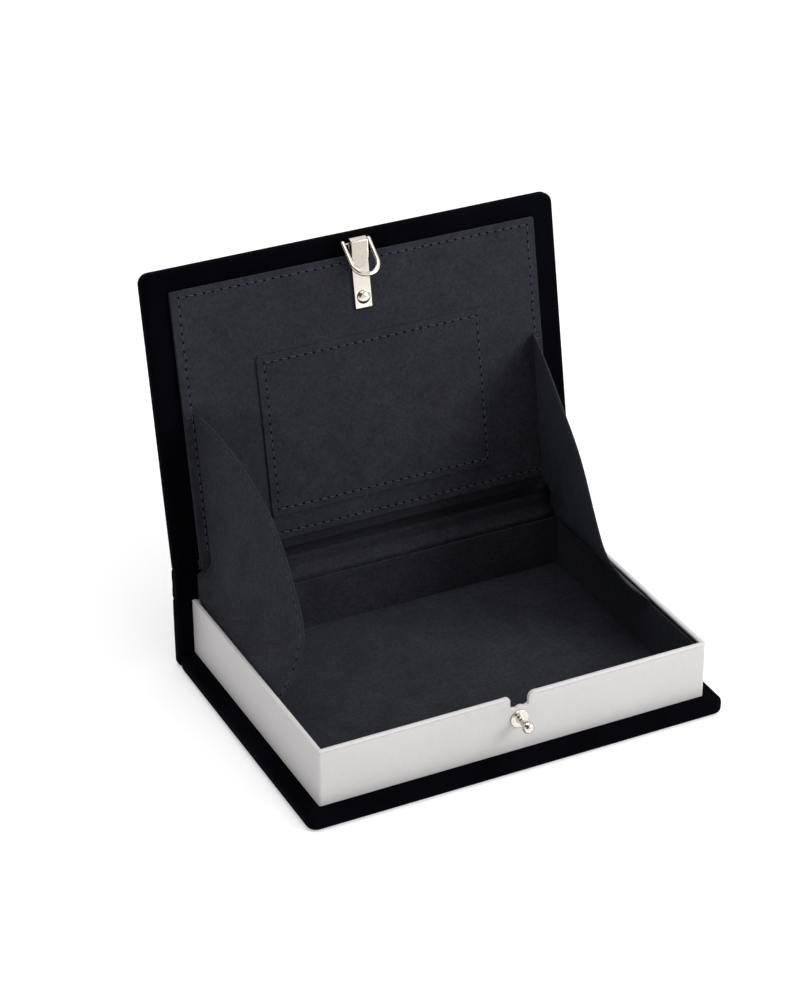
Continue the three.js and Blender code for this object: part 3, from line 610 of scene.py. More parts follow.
def notch_line(margin=0.0, top=None, steps=6):
    """The notch's edge from left to right as (x, z, way out of the wall), made larger by a margin."""
    top = RIM if top is None else top
    half = NOTCH_HALF + margin
    corner = NOTCH_CORNER + margin
    bottom = RIM - NOTCH_DEPTH - margin

    def half_line(side, shoulder):
        shoulder = max(shoulder - margin, 0.3)
        made = []
        for x, z in arc(half + shoulder, top - shoulder, shoulder, 90, 180, steps):
            made.append((x, z, Vector((x - half - shoulder, z - top + shoulder))))
        for x, z in arc(half - corner, bottom + corner, corner, 0, -90, steps):
            made.append((x, z, Vector((half - corner - x, bottom + corner - z))))
        return [(CLASP_X + side * x, z, Vector((side * out.x, out.y)).normalized()) for x, z, out in made]

    left, right = half_line(-1, NOTCH_LEFT_SHOULDER), half_line(1, NOTCH_RIGHT_SHOULDER)
    last = len(NOTCH_RAGGED) + 1
    worn = [
        (lerp(left[-1][0], right[-1][0], i / last), bottom + rise, Vector((0, 1)))
        for i, rise in enumerate(NOTCH_RAGGED, 1)
    ]
    return [*left, *worn, *reversed(right)]


# Across the rim from the outer face to the inner: distance out, distance up, both from the rim's outer corner
RIM_SHAPE = [
    (0, -2.15), (-0.1, -1.85), (-0.13, -1.65), (-0.02, -1.42), (0.13, -1.15), (0.18, -0.8), (0.12, -0.45),
    (-0.08, -0.16), (-0.4, -0.02), (-0.9, 0), (-1.4, -0.01), (-1.8, -0.08), (-2.08, -0.3), (-2.2, -0.65),
    (-2.2, -1.2), (-1.95, -1.24),
]


def wall_stations():
    """Places round the three page sides, as (rim's corner, way out, way up, foot, size, corner's pivot)."""
    stations = []

    def add(at, out, foot, up=(0, 0, 1), size=1.0, pivot=None):
        stations.append((Vector(at), Vector(out), Vector(up), foot, size, pivot))

    def straight(start, end, outward, step=4.0):
        count = max(round((Vector(end) - Vector(start)).length / step), 1)
        for i in range(count + 1):
            x, y = Vector(start).lerp(Vector(end), i / count)
            add((x, y, RIM), (*outward, 0), (x, y))

    def corner(side, steps=7):
        pivot = Vector((side * (PAGE_X - PAGE_CORNER), PAGE_FRONT + PAGE_CORNER))
        for i in range(steps + 1):
            angle = math.radians(90 * (i if side < 0 else steps - i) / steps)
            outward = Vector((side * math.cos(angle), -math.sin(angle), 0))
            at = Vector((*pivot, RIM)) + outward * PAGE_CORNER
            add(at, outward, (at.x, at.y), pivot=(pivot.x, pivot.y, side))

    gap = 2.0
    end_x, end_y = PAGE_X - PAGE_CORNER - gap, PAGE_FRONT + PAGE_CORNER + gap
    straight((-PAGE_X, PAGE_BACK), (-PAGE_X, end_y), (-1, 0))
    corner(-1)
    line = notch_line()
    left, right = line[0][0], line[-1][0]
    straight((-end_x, PAGE_FRONT), (left - gap, PAGE_FRONT), (0, -1))
    for i, (x, z, out) in enumerate(line):
        foot = lerp(left, right, i / (len(line) - 1))
        add((x, PAGE_FRONT, z), (0, -1, 0), (foot, PAGE_FRONT), up=(out.x, 0, out.y), size=NOTCH_RIM_SIZE)
    straight((right + gap, PAGE_FRONT), (end_x, PAGE_FRONT), (0, -1))
    corner(1)
    straight((PAGE_X, end_y), (PAGE_X, PAGE_BACK), (1, 0))
    return stations


NOTCH_RIM_SIZE = 0.45


def page_walls(rows=7):
    stations = wall_stations()
    points = []
    for at, way, up, foot, size, pivot in stations:
        for out, rise in RIM_SHAPE:
            bulge = max(out, -0.13) * size if rise < -0.1 and out > -0.5 else out
            if pivot and -out > PAGE_CORNER:
                spare = PAGE_CORNER + out
                x, y, side = pivot
                points.append(Vector((x + side * spare, y - spare, at.z)) + up * rise * size)
            else:
                points.append(at + way * bulge + up * rise * size)
        high = at + up * RIM_SHAPE[0][1] * size
        low = Vector((*foot, PAGE_FOOT))
        for row in range(1, rows + 1):
            level = high.lerp(low, row / rows)
            wave = 0.1 * noise.noise(Vector((level.x / 23, level.y / 23, level.z / 9)))
            points.append(level + way * wave * math.sin(math.pi * row / rows))
    across = len(RIM_SHAPE) + rows
    order = [*range(len(RIM_SHAPE) - 1, -1, -1), *range(len(RIM_SHAPE), across)]
    ordered = [points[s * across + o] for s in range(len(stations)) for o in order]
    return mesh_piece("page_walls", ordered, grid_faces(len(stations), across), LEATHERETTE)


dress(page_walls(), "tray", "leatherette", "page_wrap")


# Suede-covered boards
def suede_board(name, node, body, box, thin, outline=None, turn=Matrix(), edge=0.25, cutter=None):
    """A thin board wrapped in suede. It fills a box, or has an outline of its own in the box's broad side."""
    outline = outline or rectangle(box, *(axis for axis in (X, Y, Z) if axis != thin))
    board = slab(name, outline, box, thin, SUEDE_CLOTH, turn)
    if cutter:
        cut_away(board, cutter)
    dress(soften(board, edge), body, "suede", node)


STUD_Z = (STUD[0].z + STUD[1].z) / 2
SCREW_ROOM_RADIUS = 3.2


def screw_room():
    """A cutter for the screw's room behind the wall."""
    ends = [(SCREW_ROOM_RADIUS, y) for y in (LINING[0].y - 1, FRONT_LINER[0].y + 0.2)]
    return mesh_piece("cutter", *lathed(ends, Vector((CLASP_X, 0, STUD_Z)), 32), [])


def notched(box, margin):
    """A front wall's outline with the clasp's notch in its top edge."""
    (x0, _, z0), (x1, _, z1) = box
    line = [(x, min(z, z1)) for x, z, _ in notch_line(margin, max(z1, RIM - 1.0) if margin else RIM)]
    kept = []
    for point in reversed(line):
        if not kept or (Vector(point) - Vector(kept[-1])).length > 0.02:
            kept.append(point)
    return [(x0, z0), (x1, z0), (x1, z1), *kept, (x0, z1)]


suede_board(
    "front_liner_board", "front_liner", "tray", FRONT_LINER, Y, notched(FRONT_LINER, NOTCH_CLEARANCE),
    cutter=screw_room(),
)
suede_board("back_liner_board", "back_liner", "tray", BACK_LINER, Y)
suede_board("left_liner_board", "left_liner", "tray", LEFT_LINER, X)
suede_board("right_liner_board", "right_liner", "tray", RIGHT_LINER, X)
floor_outline = rounded(shrunk(FLOOR_LINER, 0.3, 0.3, 0.2, 0.5), 0.6)
suede_board("floor_liner_board", "floor_liner", "tray", FLOOR_LINER, Z, floor_outline)


def join(pieces):
    """Puts several meshes into the first."""
    bm = bmesh.new()
    for one in pieces:
        bm.from_mesh(one.data)
    bm.to_mesh(pieces[0].data)
    bm.free()
    for one in pieces[1:]:
        bpy.data.objects.remove(one)
    return pieces[0]


def wall_lining(thick=0.3):
    low, high = LINING
    outline = notched(LINING, 0)
    front = mesh_piece("wall_lining_suede", *extruded(outline, low.y, low.y + thick), SUEDE_CLOTH, STAND[Y])
    cut_away(front, screw_room())
    sides = [front]
    outline = rectangle(shrunk(LINING, 0, 0, thick, 0), Y, Z)
    for x in (low.x, high.x - thick):
        sides.append(mesh_piece("side_lining", *extruded(outline, x, x + thick), SUEDE_CLOTH, STAND[X]))
    return soften(join(sides), 0)


dress(wall_lining(), "tray", "suede", "wall_lining")


# Lid panel and pocket
RIVET_AT = (RIVET[0] + RIVET[1]) / 2
RIVET_SHANK = 1.5


def rivet_hole():
    outline = arc(RIVET_AT.x, RIVET_AT.y, RIVET_SHANK + GLUE, 0, 345, 23)
    return mesh_piece("cutter", *extruded(outline, PANEL[0].z - 2, PANEL[1].z + 2), [], LID)


suede_board(
    "lid_panel", "lid_panel_suede", "lid", PANEL, Z, rounded(PANEL, 0.8), LID, edge=0.45, cutter=rivet_hole(),
)
suede_board("pocket_front", "pocket_panel", "lid", POCKET, Z, rounded(POCKET, 1.5), LID, edge=0.3)


# Hinge cloths
def band(points, thickness):
    """The outline of a band of even thickness along (y, z) points."""
    path = [Vector(point) for point in points]
    left, right = [], []
    for i, point in enumerate(path):
        into = (point - path[max(i - 1, 0)]).normalized()
        out = (path[min(i + 1, len(path) - 1)] - point).normalized()
        along = (into + out).normalized()
        normal = Vector((-along.y, along.x))
        share = max(along.dot(into if i else out), 0.6)
        left.append(point + normal * thickness / 2 / share)
        right.insert(0, point - normal * thickness / 2 / share)
    return left + right


def resampled(points, radius, steps=5):
    """A path with its corners rounded."""
    path = [Vector(point) for point in points]
    made = [path[0]]
    for before, here, after in zip(path, path[1:], path[2:]):
        reach = min(radius, (here - before).length * 0.45, (after - here).length * 0.45)
        start = here + (before - here).normalized() * reach
        end = here + (after - here).normalized() * reach
        shares = [i / steps for i in range(steps + 1)]
        made += [start.lerp(here, share).lerp(here.lerp(end, share), share) for share in shares]
    return [*made, path[-1]]


def subdivided(path, step):
    """A path with more points, none further apart than a step."""
    made = [path[0]]
    for before, here in zip(path, path[1:]):
        count = max(math.ceil((here - before).length / step), 1)
        made += [before.lerp(here, i / count) for i in range(1, count + 1)]
    return made


def way_at(path, i):
    """The way along a path at one of its points."""
    return (path[min(i + 1, len(path) - 1)] - path[max(i - 1, 0)]).normalized()


def strip(name, path, thickness, half, material):
    """Cloth of even thickness across the hinge, drawn along X."""
    outline = band(path, thickness)
    columns = [-half + 2 * half * i / 26 for i in range(27)]
    points = []
    for x in columns:
        for point in outline:
            sag = 0.12 * noise.noise(Vector((x / 21, point.x / 9, point.y / 9)))
            points.append((x, point.x + sag, point.y))
    return soften(mesh_piece(name, points, tube_faces(len(columns), len(outline)), material), 0)


def bend_at_hinge(cloth, node):
    """Hides the CAD node that a hinge cloth stands in for, and bakes the cloth's place into its mesh."""
    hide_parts(node)
    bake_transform(cloth)


def lid_point(y, z):
    point = LID @ Vector((0, y, z))
    return (point.y, point.z)


def side_roll(side):
    """The outer cloth's end, rolled in between the spine and the lid."""
    back = SPINE[1].y - 1.3
    foot = SPINE[1].z - 1.4
    corners = [
        (PAGE_BACK + 0.3, foot), (back, foot), (back, HINGE.z),
        lid_point(LID_BACK - 1.6, FRONT_COVER[1].z - 0.8), lid_point(LID_BACK - 1.6, LID_FACE + 0.6),
    ]
    middle = sum((Vector(corner) for corner in corners), Vector((0, 0))) / len(corners)
    start = Vector(corners[0]).lerp(Vector(corners[-1]), 0.5)
    outline = subdivided(resampled([start, *corners, start], 1.6), CLOTH_STEP)[:-1]
    points = []
    for x, inset in ROLL_SHAPE:
        for point in outline:
            inward = middle - point
            spot = point + inward.normalized() * min(inset, inward.length * 0.8)
            fold = 0.25 * noise.noise(Vector((side * x / 3, spot.x / 5, spot.y / 4)))
            points.append((side * (SPINE[1].x - x), spot.x + fold, spot.y))
    faces = tube_faces(len(ROLL_SHAPE), len(outline))
    # The outer end's order of corners is turned round
    faces[-2] = tuple(reversed(faces[-2]))
    return mesh_piece("side_roll", points, faces, VELVET_CLOTH)


LID_BACK = FRONT_COVER[1].y
LID_FACE = FRONT_COVER[0].z
CLOTH_STEP = 0.7
# Along a side roll from its outer end: distance in from the cover's side, and how far its skin draws in
ROLL_SHAPE = [
    (0.2, 2.2), (0.22, 1.0), (0.4, 0.4), (0.8, 0.1), (1.7, 0), (4, 0), (7, 0), (11, 0.2), (11.6, 0.8),
]
cloth_y = SPINE[1].y - 1.5
outer_path = [
    (cloth_y, SPINE[1].z + GLUE), (cloth_y, HINGE.z), lid_point(LID_BACK + GLUE, FRONT_COVER[1].z - 1.5),
]
outer_path = subdivided(resampled(outer_path, 3), CLOTH_STEP)
outer_cloth = strip("hinge_velvet", outer_path, 1.0, SPINE[1].x - 1, VELVET_CLOTH)
join([outer_cloth, side_roll(-1), side_roll(1)])
bend_at_hinge(outer_cloth, "hinge_cloth")

wall_face = BACK_WALL[0].y - GLUE - SUEDE / 2
lining_face = LID_FACE - GLUE - SUEDE / 2
# The lining lies on the lid, drops into the gap, stands out in a ridge and goes down behind the liner
inner_path = [
    (wall_face, BACK_WALL[1].z - 6), (wall_face, BACK_WALL[1].z + GLUE + SUEDE / 2),
    (HINGE.y - 3.5, HINGE.z - 3.4), (HINGE.y - 3.8, HINGE.z + 2.0), (HINGE.y - 0.4, HINGE.z + 2.7),
    (HINGE.y - 1.2, HINGE.z + 7.2), lid_point(LID_BACK - 0.6, lining_face),
    lid_point(PANEL[1].y + GLUE, lining_face),
]
inner_path = subdivided(resampled(inner_path, 0.7), CLOTH_STEP)
inner_half = -LEFT_LINER[1].x
inner_cloth = strip("hinge_suede", inner_path, SUEDE, inner_half, [SUEDE_CLOTH, SUEDE_PAINTED_SHADE])
# Faces above the ridge take the darker suede: painted shade of the recess under the panel's foot
for face in inner_cloth.data.polygons:
    face.material_index = int(face.center.z / MM > HINGE.z + 2.5)
bend_at_hinge(inner_cloth, "hinge_lining")


# Clasp
def swept_strap():
    """The strap lies on the panel, steps over its edge, curls round the bar and comes back as a tongue."""
    middle = RING_WIRE + GLUE + STRAP_THICKNESS / 2
    flat_z = PANEL[0].z - GLUE - STRAP_THICKNESS / 2
    way = Vector((math.cos(TONGUE_LEAN), -math.sin(TONGUE_LEAN)))
    outward = Vector((way.y, -way.x))
    pin = Vector((PIN.y, PIN.z))
    tip = pin + outward * middle + way * TONGUE_LENGTH
    curl = [Vector(p) for p in arc(pin.x, pin.y, middle, 90, 270 - math.degrees(TONGUE_LEAN), 24)]
    step_start, step_end = PANEL[0].y - 0.6, PANEL[0].y - 3.0
    flat = [(STRAP[1].y, flat_z), (step_start, flat_z), (step_end, pin.y + middle)]
    flat = resampled([*flat, curl[0]], 1.1)[:-1]
    path = [flat[0], *subdivided([flat[0].lerp(flat[1], 0.03), flat[1]], 3), *flat[2:], *curl]
    tongue = subdivided([curl[-1], tip - way * TIP_LENGTH], 1.2)[1:]
    tongue += [tip - way * TIP_LENGTH * (1 - math.sin(math.radians(a))) for a in range(6, 91, 6)]
    path += tongue
    section = [point for start, (x, y) in zip(range(0, 360, 90), ((1, 1), (-1, 1), (-1, -1), (1, -1)))
               for point in arc(x, y, 1, start, start + 90, 3)]
    points = []
    for i, here in enumerate(path):
        along = way_at(path, i)
        normal = Vector((-along.y, along.x))
        half, aside = STRAP_HALF, 0.0
        if i > len(path) - len(tongue) - 1:
            left = max(min((tip - here).dot(way) / TIP_LENGTH, 1.0), 0.0)
            half *= math.sqrt(1 - (1 - left) ** 2)
            aside = TONGUE_YAW * (here - curl[-1]).dot(way)
        foot = (here - path[0]).length
        if foot < STRAP_CORNER:
            rounding = STRAP_CORNER ** 2 - (STRAP_CORNER - foot) ** 2
            half = STRAP_HALF - STRAP_CORNER + math.sqrt(max(rounding, 0))
        half = max(half, STRAP_EDGE + 0.02)
        for u, v in section:
            x = math.copysign(half - STRAP_EDGE, u) + (u - math.copysign(1, u)) * STRAP_EDGE
            n = math.copysign(STRAP_THICKNESS / 2 - STRAP_EDGE, v) + (v - math.copysign(1, v)) * STRAP_EDGE
            spot = here + normal * n
            points.append((CLASP_X + x - aside, spot.x, spot.y))
    strap = mesh_piece("clasp_strap_metal", points, tube_faces(len(path), len(section)), METAL, LID)
    return soften(cut_away(strap, rivet_hole()), 0)


def wire(name, path, radius, place, sides=20):
    """A wire with round ends along points in the X-Y plane."""
    spots = [Vector(spot) for spot in path]
    ways = [way_at(spots, i) for i in range(len(spots))]
    dome = [math.radians(angle) for angle in range(3, 90, 12)]

    def ring(i, way, angle):
        return spots[i] + way * radius * math.cos(angle), ways[i], radius * math.sin(angle)

    rows = [ring(0, -ways[0], angle) for angle in dome]
    rows += [(spot, way, radius) for spot, way in zip(spots, ways)]
    rows += [ring(-1, ways[-1], angle) for angle in reversed(dome)]
    points = []
    for spot, way, size in rows:
        for step in range(sides):
            angle = math.tau * step / sides
            out = Vector((way.y, -way.x)) * size * math.cos(angle)
            points.append((spot.x + out.x, spot.y + out.y, size * math.sin(angle)))
    return mesh_piece(name, points, tube_faces(len(rows), sides), METAL, place)


dress(swept_strap(), "lid", "gold_metal", "clasp_strap")

leg_end, leg_start = -0.7, RING_LENGTH - RING_HALF
bow_path = [
    *[(RING_HALF, lerp(leg_end, leg_start, i / 6)) for i in range(6)],
    *arc(0, leg_start, RING_HALF, 0, 180, 44),
    *[(-RING_HALF, lerp(leg_start, leg_end, i / 6)) for i in range(1, 7)],
]
bar_path = [(-RING_HALF, 0), (0, 0), (RING_HALF, 0)]
ring_place = LID @ Matrix.Translation(PIN + Vector((RING_ASIDE, 0, 0))) @ Matrix.Rotation(-RING_REST, 4, "X")
ring = wire("clasp_d_ring", bow_path, RING_BOW, ring_place)
dress(join([ring, wire("bar", bar_path, RING_BAR, ring_place, 12)]), "ring", "gold_metal", "clasp_ring")


def dome_rivet():
    """A domed head over a plain shank, its axis turned to Z."""
    head = RIVET[0].z
    rise = 1.9
    radius = RIVET[1].x - RIVET_AT.x
    dome = [math.radians(angle) for angle in range(8, 89, 8)]
    profile = [
        (0.02, head), *[(radius * math.sin(a), head + rise * (1 - math.cos(a)) * 0.92) for a in dome],
        (radius, head + rise - 0.06), (radius - 0.08, head + rise),
        (RIVET_SHANK, head + rise), (RIVET_SHANK, RIVET[1].z),
    ]
    points, faces = lathed(profile, Vector((0, 0, 0)))
    turned = [(x + RIVET_AT.x, z + RIVET_AT.y, y) for x, y, z in points]
    return soften(mesh_piece("domed_rivet", turned, faces, METAL, LID), 0)


dress(dome_rivet(), "lid", "gold_metal", "clasp_rivet")


def turned_stud():
    """A ball on a waisted neck with a flange on the wall, and a plain shank behind it."""
    ball, neck, foot, flange, shank = 2.8, 1.7, 2.15, 4.5, 1.6
    ball_y = STUD[0].y + ball
    flange_y = PAGE_FRONT - 0.8
    turns = [math.radians(angle) for angle in range(0, 140, 6)]
    profile = [
        *[(ball * math.sin(a) + 0.01, ball_y - ball * math.cos(a)) for a in turns],
        (neck + 0.04, ball_y + 2.16), (neck, ball_y + 2.3), (neck, lerp(ball_y, flange_y, 0.7)),
        (lerp(neck, foot, 0.3), lerp(ball_y, flange_y, 0.84)), (foot, flange_y - 0.15), (foot, flange_y),
        (flange - 0.3, flange_y), (flange - 0.08, flange_y + 0.1), (flange, flange_y + 0.3),
        (flange, PAGE_FRONT), (shank, PAGE_FRONT), (shank, STUD[1].y),
    ]
    return soften(mesh_piece("turned_ball_stud", *lathed(profile, Vector((CLASP_X, 0, STUD_Z))), METAL), 0)


dress(turned_stud(), "tray", "gold_metal", "ball_stud")


# Gussets
GUSSET_REACH = 99.0
GUSSET_SAG = 18.3
GUSSET_ROOT = 12.0
GUSSET_TUCK = 6.0
# Share of the turn, of the reach and of the sag along the free edge
GUSSET_EDGE = [
    (0, 0.854, 0.355), (0.14, 0.813, 0.601), (0.25, 0.793, 0.748), (0.35, 0.786, 0.847), (0.5, 0.8, 0.945),
    (0.7, 0.82, 1), (0.82, 0.866, 0.984), (0.92, 0.929, 0.667), (1, 1, 0),
]
# Across the hem from the free edge: distance in, and half the cloth's thickness
HEM_SHAPE = [
    (0, 0.3), (0.35, 0.47), (0.9, 0.52), (1.6, 0.47), (2.1, 0.33), (2.5, 0.17), (2.9, 0.31), (3.4, 0.36),
    (4.4, 0.33), (6, 0.3),
]
HEM_STITCH = 5
HALF_ROWS = 24
GUSSET_X = (PAGE_X - WALL) - GLUE - GUSSET / 2
SEAM_X = PANEL[1].x - 5
SEAM_Z = PANEL[0].z - GLUE - GUSSET / 2
LINER_TOP = LEFT_LINER[1].z


def edge_values(along):
    """Share of the turn, reach and sag at a place along the free edge, by a centripetal Catmull-Rom curve."""
    points = [Vector(value) for value in GUSSET_EDGE]
    last = len(points) - 1
    spot = along * last
    i = min(int(spot), last - 1)
    t = spot - i
    p1, p2 = points[i], points[i + 1]
    p0 = points[i - 1] if i else 2 * p1 - p2
    p3 = points[i + 2] if i + 2 <= last else 2 * p2 - p1
    d0, d1, d2 = (max((b - a).length_squared ** 0.25, 1e-4) for a, b in ((p0, p1), (p1, p2), (p2, p3)))
    t1 = ((p1 - p0) / d0 - (p2 - p0) / (d0 + d1) + (p2 - p1) / d1) * d1
    t2 = ((p2 - p1) / d1 - (p3 - p1) / (d1 + d2) + (p3 - p2) / d2) * d1
    c2 = -3 * p1 + 3 * p2 - 2 * t1 - t2
    c3 = 2 * p1 - 2 * p2 + t1 + t2
    share, reach, sag = p1 + t1 * t + c2 * t * t + c3 * t * t * t
    return min(max(share, 0), 1), reach * GUSSET_REACH, sag * GUSSET_SAG


def gusset_point(side, along, inward):
    """A point of the gusset's middle surface with the lid open, a distance in from its free edge."""
    share, reach, sag = edge_values(along)
    radius = max(reach - inward, GUSSET_ROOT)
    out = (radius - GUSSET_ROOT) / (reach - GUSSET_ROOT)
    lid_angle = LID_OPEN - math.asin((HINGE.z - SEAM_Z) / radius)
    tray_angle = -math.asin((HINGE.z - LINER_TOP) / radius)
    angle = lerp(lid_angle, tray_angle, share)
    root_x = lerp(SEAM_X, GUSSET_X, share)
    x = lerp(root_x, GUSSET_X - sag, out)
    # Away from its seams and its free edge the cloth waves, more tightly towards its root
    free = math.sin(math.pi * share) * smooth((1 - out) / 0.25)
    x += free * 0.8 * noise.noise(Vector((radius / 17, share * 4.2, side * 3.1)))
    x += free * 0.5 * math.exp(-out / 0.16) * math.sin(share * 27 + side)
    radius -= max(inward - (reach - GUSSET_ROOT), 0)
    x = lerp(x, GUSSET_X - 0.9, smooth((GUSSET_ROOT + 2.5 - radius) / 7))
    return Vector((side * x, HINGE.y - radius * math.cos(angle), HINGE.z + radius * math.sin(angle)))


def gusset_grid(side):
    """The whole gusset as rows of points from the panel's flange to the tuck beside the liner."""
    hem = [distance for distance, _ in HEM_SHAPE]
    rows = []
    for r in range(2 * HALF_ROWS + 1):
        along = r / (2 * HALF_ROWS)
        span = edge_values(along)[1] - GUSSET_ROOT
        inner = [hem[-1] + (span - hem[-1]) * i / 26 for i in range(1, 27)]
        past = [span + more for more in PAST_ROOT]
        rows.append([gusset_point(side, along, distance) for distance in hem + inner + past])
    closed = [CLOSED @ point for point in rows[0]]
    seam = side * (PANEL[1].x - 0.3)
    flange = [
        [LID @ Vector((lerp(seam, point.x, share), point.y, point.z)) for point in closed]
        for share in FLANGE_SHARES
    ]
    tuck = [[point - Vector((0, 0, drop)) for point in rows[-1]] for drop in (1.0, 3.0, GUSSET_TUCK)]
    return [*flange, *rows, *tuck], len(flange) + HALF_ROWS


# How far the cloth runs on past its root towards the hinge, and shares of the way across its flange
PAST_ROOT = (1.6, 3.4, 5.4, 7.4, 9.2)
FLANGE_SHARES = (0, 0.32, 0.57, 0.81, 0.94)


def grid_normals(grid):
    """The way out of a sheet at each point of its grid."""
    last_row, last_column = len(grid) - 1, len(grid[0]) - 1

    def way_out(i, j):
        down = grid[min(i + 1, last_row)][j] - grid[max(i - 1, 0)][j]
        inward = grid[i][min(j + 1, last_column)] - grid[i][max(j - 1, 0)]
        return inward.cross(down).normalized()

    return [[way_out(i, j) for j in range(last_column + 1)] for i in range(last_row + 1)]


def half_thickness(row, column, rows):
    """Half the gusset's thickness. Its hem is thick where it hangs free and thin down the wall."""
    hem = HEM_SHAPE[column][1] if column < len(HEM_SHAPE) else GUSSET / 2
    return lerp(hem, GUSSET / 2, smooth((row / rows - 0.74) / 0.1))


def leaf_mesh(name, front, back, front_normals, back_normals):
    """A closed sheet between two grids of points, shaded by their normals, with a round free edge."""
    rows, columns = len(front), len(front[0])
    edge = [(a[0] + b[0]) / 2 + ((a[0] - a[1]).normalized() * 0.22) for a, b in zip(front, back)]
    points = [p for row in front for p in row] + [p for row in back for p in row] + edge
    back_start, edge_start = rows * columns, 2 * rows * columns
    faces = grid_faces(rows, columns)
    faces += [tuple(reversed(face)) for face in grid_faces(rows, columns, back_start)]
    smooth_faces = len(faces)
    for i in range(rows - 1):
        a, b = i * columns, (i + 1) * columns
        faces.append((a, b, edge_start + i + 1, edge_start + i))
        faces.append((edge_start + i, edge_start + i + 1, back_start + b, back_start + a))
        a, b = a + columns - 1, b + columns - 1
        faces.append((b, a, back_start + a, back_start + b))
    for row, turn in ((0, 1), (rows - 1, -1)):
        starts = range(row * columns, (row + 1) * columns - 1)
        end = [(a + 1, a, back_start + a, back_start + a + 1) for a in starts]
        end.append((starts[0], edge_start + row, back_start + starts[0]))
        faces += [face[::turn] for face in end]
    data = bpy.data.meshes.new(name)
    data.from_pydata([point * MM for point in points], [], faces)
    leaf = add_piece(name, data, SUEDE_CLOTH)
    data.shade_smooth()
    normals = [n for row in front_normals for n in row] + [n for row in back_normals for n in row]
    outward = [(front[i][0] - front[i][1]).normalized() for i in range(rows)]
    shading = []
    for number, face in enumerate(data.polygons):
        for corner in face.vertices:
            if number < smooth_faces:
                shading.append(normals[corner])
            elif corner >= edge_start:
                shading.append(outward[corner - edge_start])
            elif corner % columns == 0 and len(face.vertices) == 4 and face.vertices[-1] >= edge_start:
                shading.append((normals[corner] + outward[corner % back_start // columns]).normalized())
            else:
                shading.append(face.normal)
    data.normals_split_custom_set(shading)
    return leaf


def gusset_halves(side, word):
    """The two leaves of a gusset with their stitches, cut where the cloth folds when the lid shuts."""
    grid, cut = gusset_grid(side)
    last = len(grid) - 1
    ways = grid_normals(grid)
    skins = []
    for sign in (1, -1):
        skin = [
            [row[j] + ways[i][j] * sign * half_thickness(i, j, last) for j in range(len(row))]
            for i, row in enumerate(grid)
        ]
        skins.append((skin, [[sign * way for way in row] for row in grid_normals(skin)]))
    seam = LID @ Vector((0, 0, SEAM_Z - GUSSET / 2))
    wall = Vector((0, 0, LINER_TOP - 0.2))
    for half, rows, body, rests_on, axis, anchor in (
        ("upper", slice(0, cut + 1), "lid", "lid_panel", PANEL_WAY, seam),
        ("lower", slice(cut, last + 1), "tray", f"{word}_liner_board", (0, 0, 1), wall),
    ):
        (front, front_ways), (back, back_ways) = skins
        leaf = leaf_mesh(f"{word}_{half}_gusset", front[rows], back[rows], front_ways[rows], back_ways[rows])
        dress(leaf, body, "suede", f"{word}_gusset_{half}")
        runs = []
        for skin in skins:
            line, out = ([row[HEM_STITCH] for row in grid[rows]] for grid in skin)
            runs += runs_along(line, out)
        stitches = stitch_mesh(f"{word}_{half}_gusset_stitches", runs, body)
        for piece in (leaf, stitches):
            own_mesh(piece)


PANEL_WAY = (LID.to_3x3() @ Vector((0, 0, 1))).normalized()


# Stitches
def stitch_mesh(name, runs, body, place=Matrix()):
    """Threads that dip into needle holes of painted shade, along runs of (point, way along, way out) in
    millimetres.
    """
    points, faces = [], []
    sides = 7
    for number, (centre, along, out) in enumerate(runs):
        across = along.cross(out).normalized()
        tilt = 0.2 * noise.noise(Vector((number * 1.7, 0.3, 0.5)))
        along = (along + across * (0.1 + tilt)).normalized()
        first = len(points)
        for share, rise, size in THREAD_SHAPE:
            for step in range(sides):
                angle = math.tau * step / sides
                lift = rise + THREAD * size * math.sin(angle) * 0.8
                spot = centre + along * share * STITCH_LENGTH + out * lift
                points.append(spot + across * THREAD * size * math.cos(angle))
        skin = tube_faces(len(THREAD_SHAPE), sides)[:-2]
        faces += [tuple(first + corner for corner in face) for face in skin]
        # A flat near-black disc over each needle hole, painted shade of the hole
        middle = centre + along * 0.5 * STITCH_PITCH + out * 0.03
        first = len(points)
        points.append(middle + out * 0.02)
        for step in range(HOLE_SIDES):
            angle = math.tau * step / HOLE_SIDES
            spread = 1 + 0.2 * noise.noise(Vector((number * 0.9, step * 0.8, 0.1)))
            spot = along * HOLE_LENGTH * math.cos(angle) + across * HOLE_WIDTH * math.sin(angle)
            points.append(middle + spot * spread)
        rim = [first + 1 + step for step in range(HOLE_SIDES)]
        faces += [(first, a, b) for a, b in zip(rim, rim[1:] + rim[:1])]
    stitches = mesh_piece(name, points, faces, [THREAD_NAVY, PAINTED_HOLE_SHADE], place, tidy=False)
    for face in stitches.data.polygons:
        face.material_index = int(len(face.vertices) == 3)
    return dress(stitches, body, "suede")


def runs_along(line, ways):
    """Stitch places at an even pitch along a line of points, with the way out of the cloth at each."""
    lengths = [0.0]
    for a, b in zip(line, line[1:]):
        lengths.append(lengths[-1] + (b - a).length)
    count = max(round(lengths[-1] / STITCH_PITCH), 1)
    runs = []
    for i in range(count):
        at = lengths[-1] * (i + 0.5) / count
        before = max(k for k in range(len(line) - 1) if lengths[k] <= at)
        share = (at - lengths[before]) / (lengths[before + 1] - lengths[before])
        start, end = line[before:before + 2]
        out = ways[before].lerp(ways[before + 1], share)
        runs.append((start.lerp(end, share), (end - start).normalized(), out))
    return runs


def frame_runs(box, *insets):
    """Stitch places round a panel's face, at distances in from its left, right, front and back."""
    corners = [Vector((*corner, box[0].z)) for corner in rectangle(shrunk(box, *insets))]
    out = Vector((0, 0, -1))
    return [run for a, b in zip(corners, corners[1:] + corners[:1]) for run in runs_along([a, b], [out, out])]


# Size of the flat discs of painted shade over the needle holes
HOLE_SIDES = 10
HOLE_LENGTH, HOLE_WIDTH = 0.7, 0.45
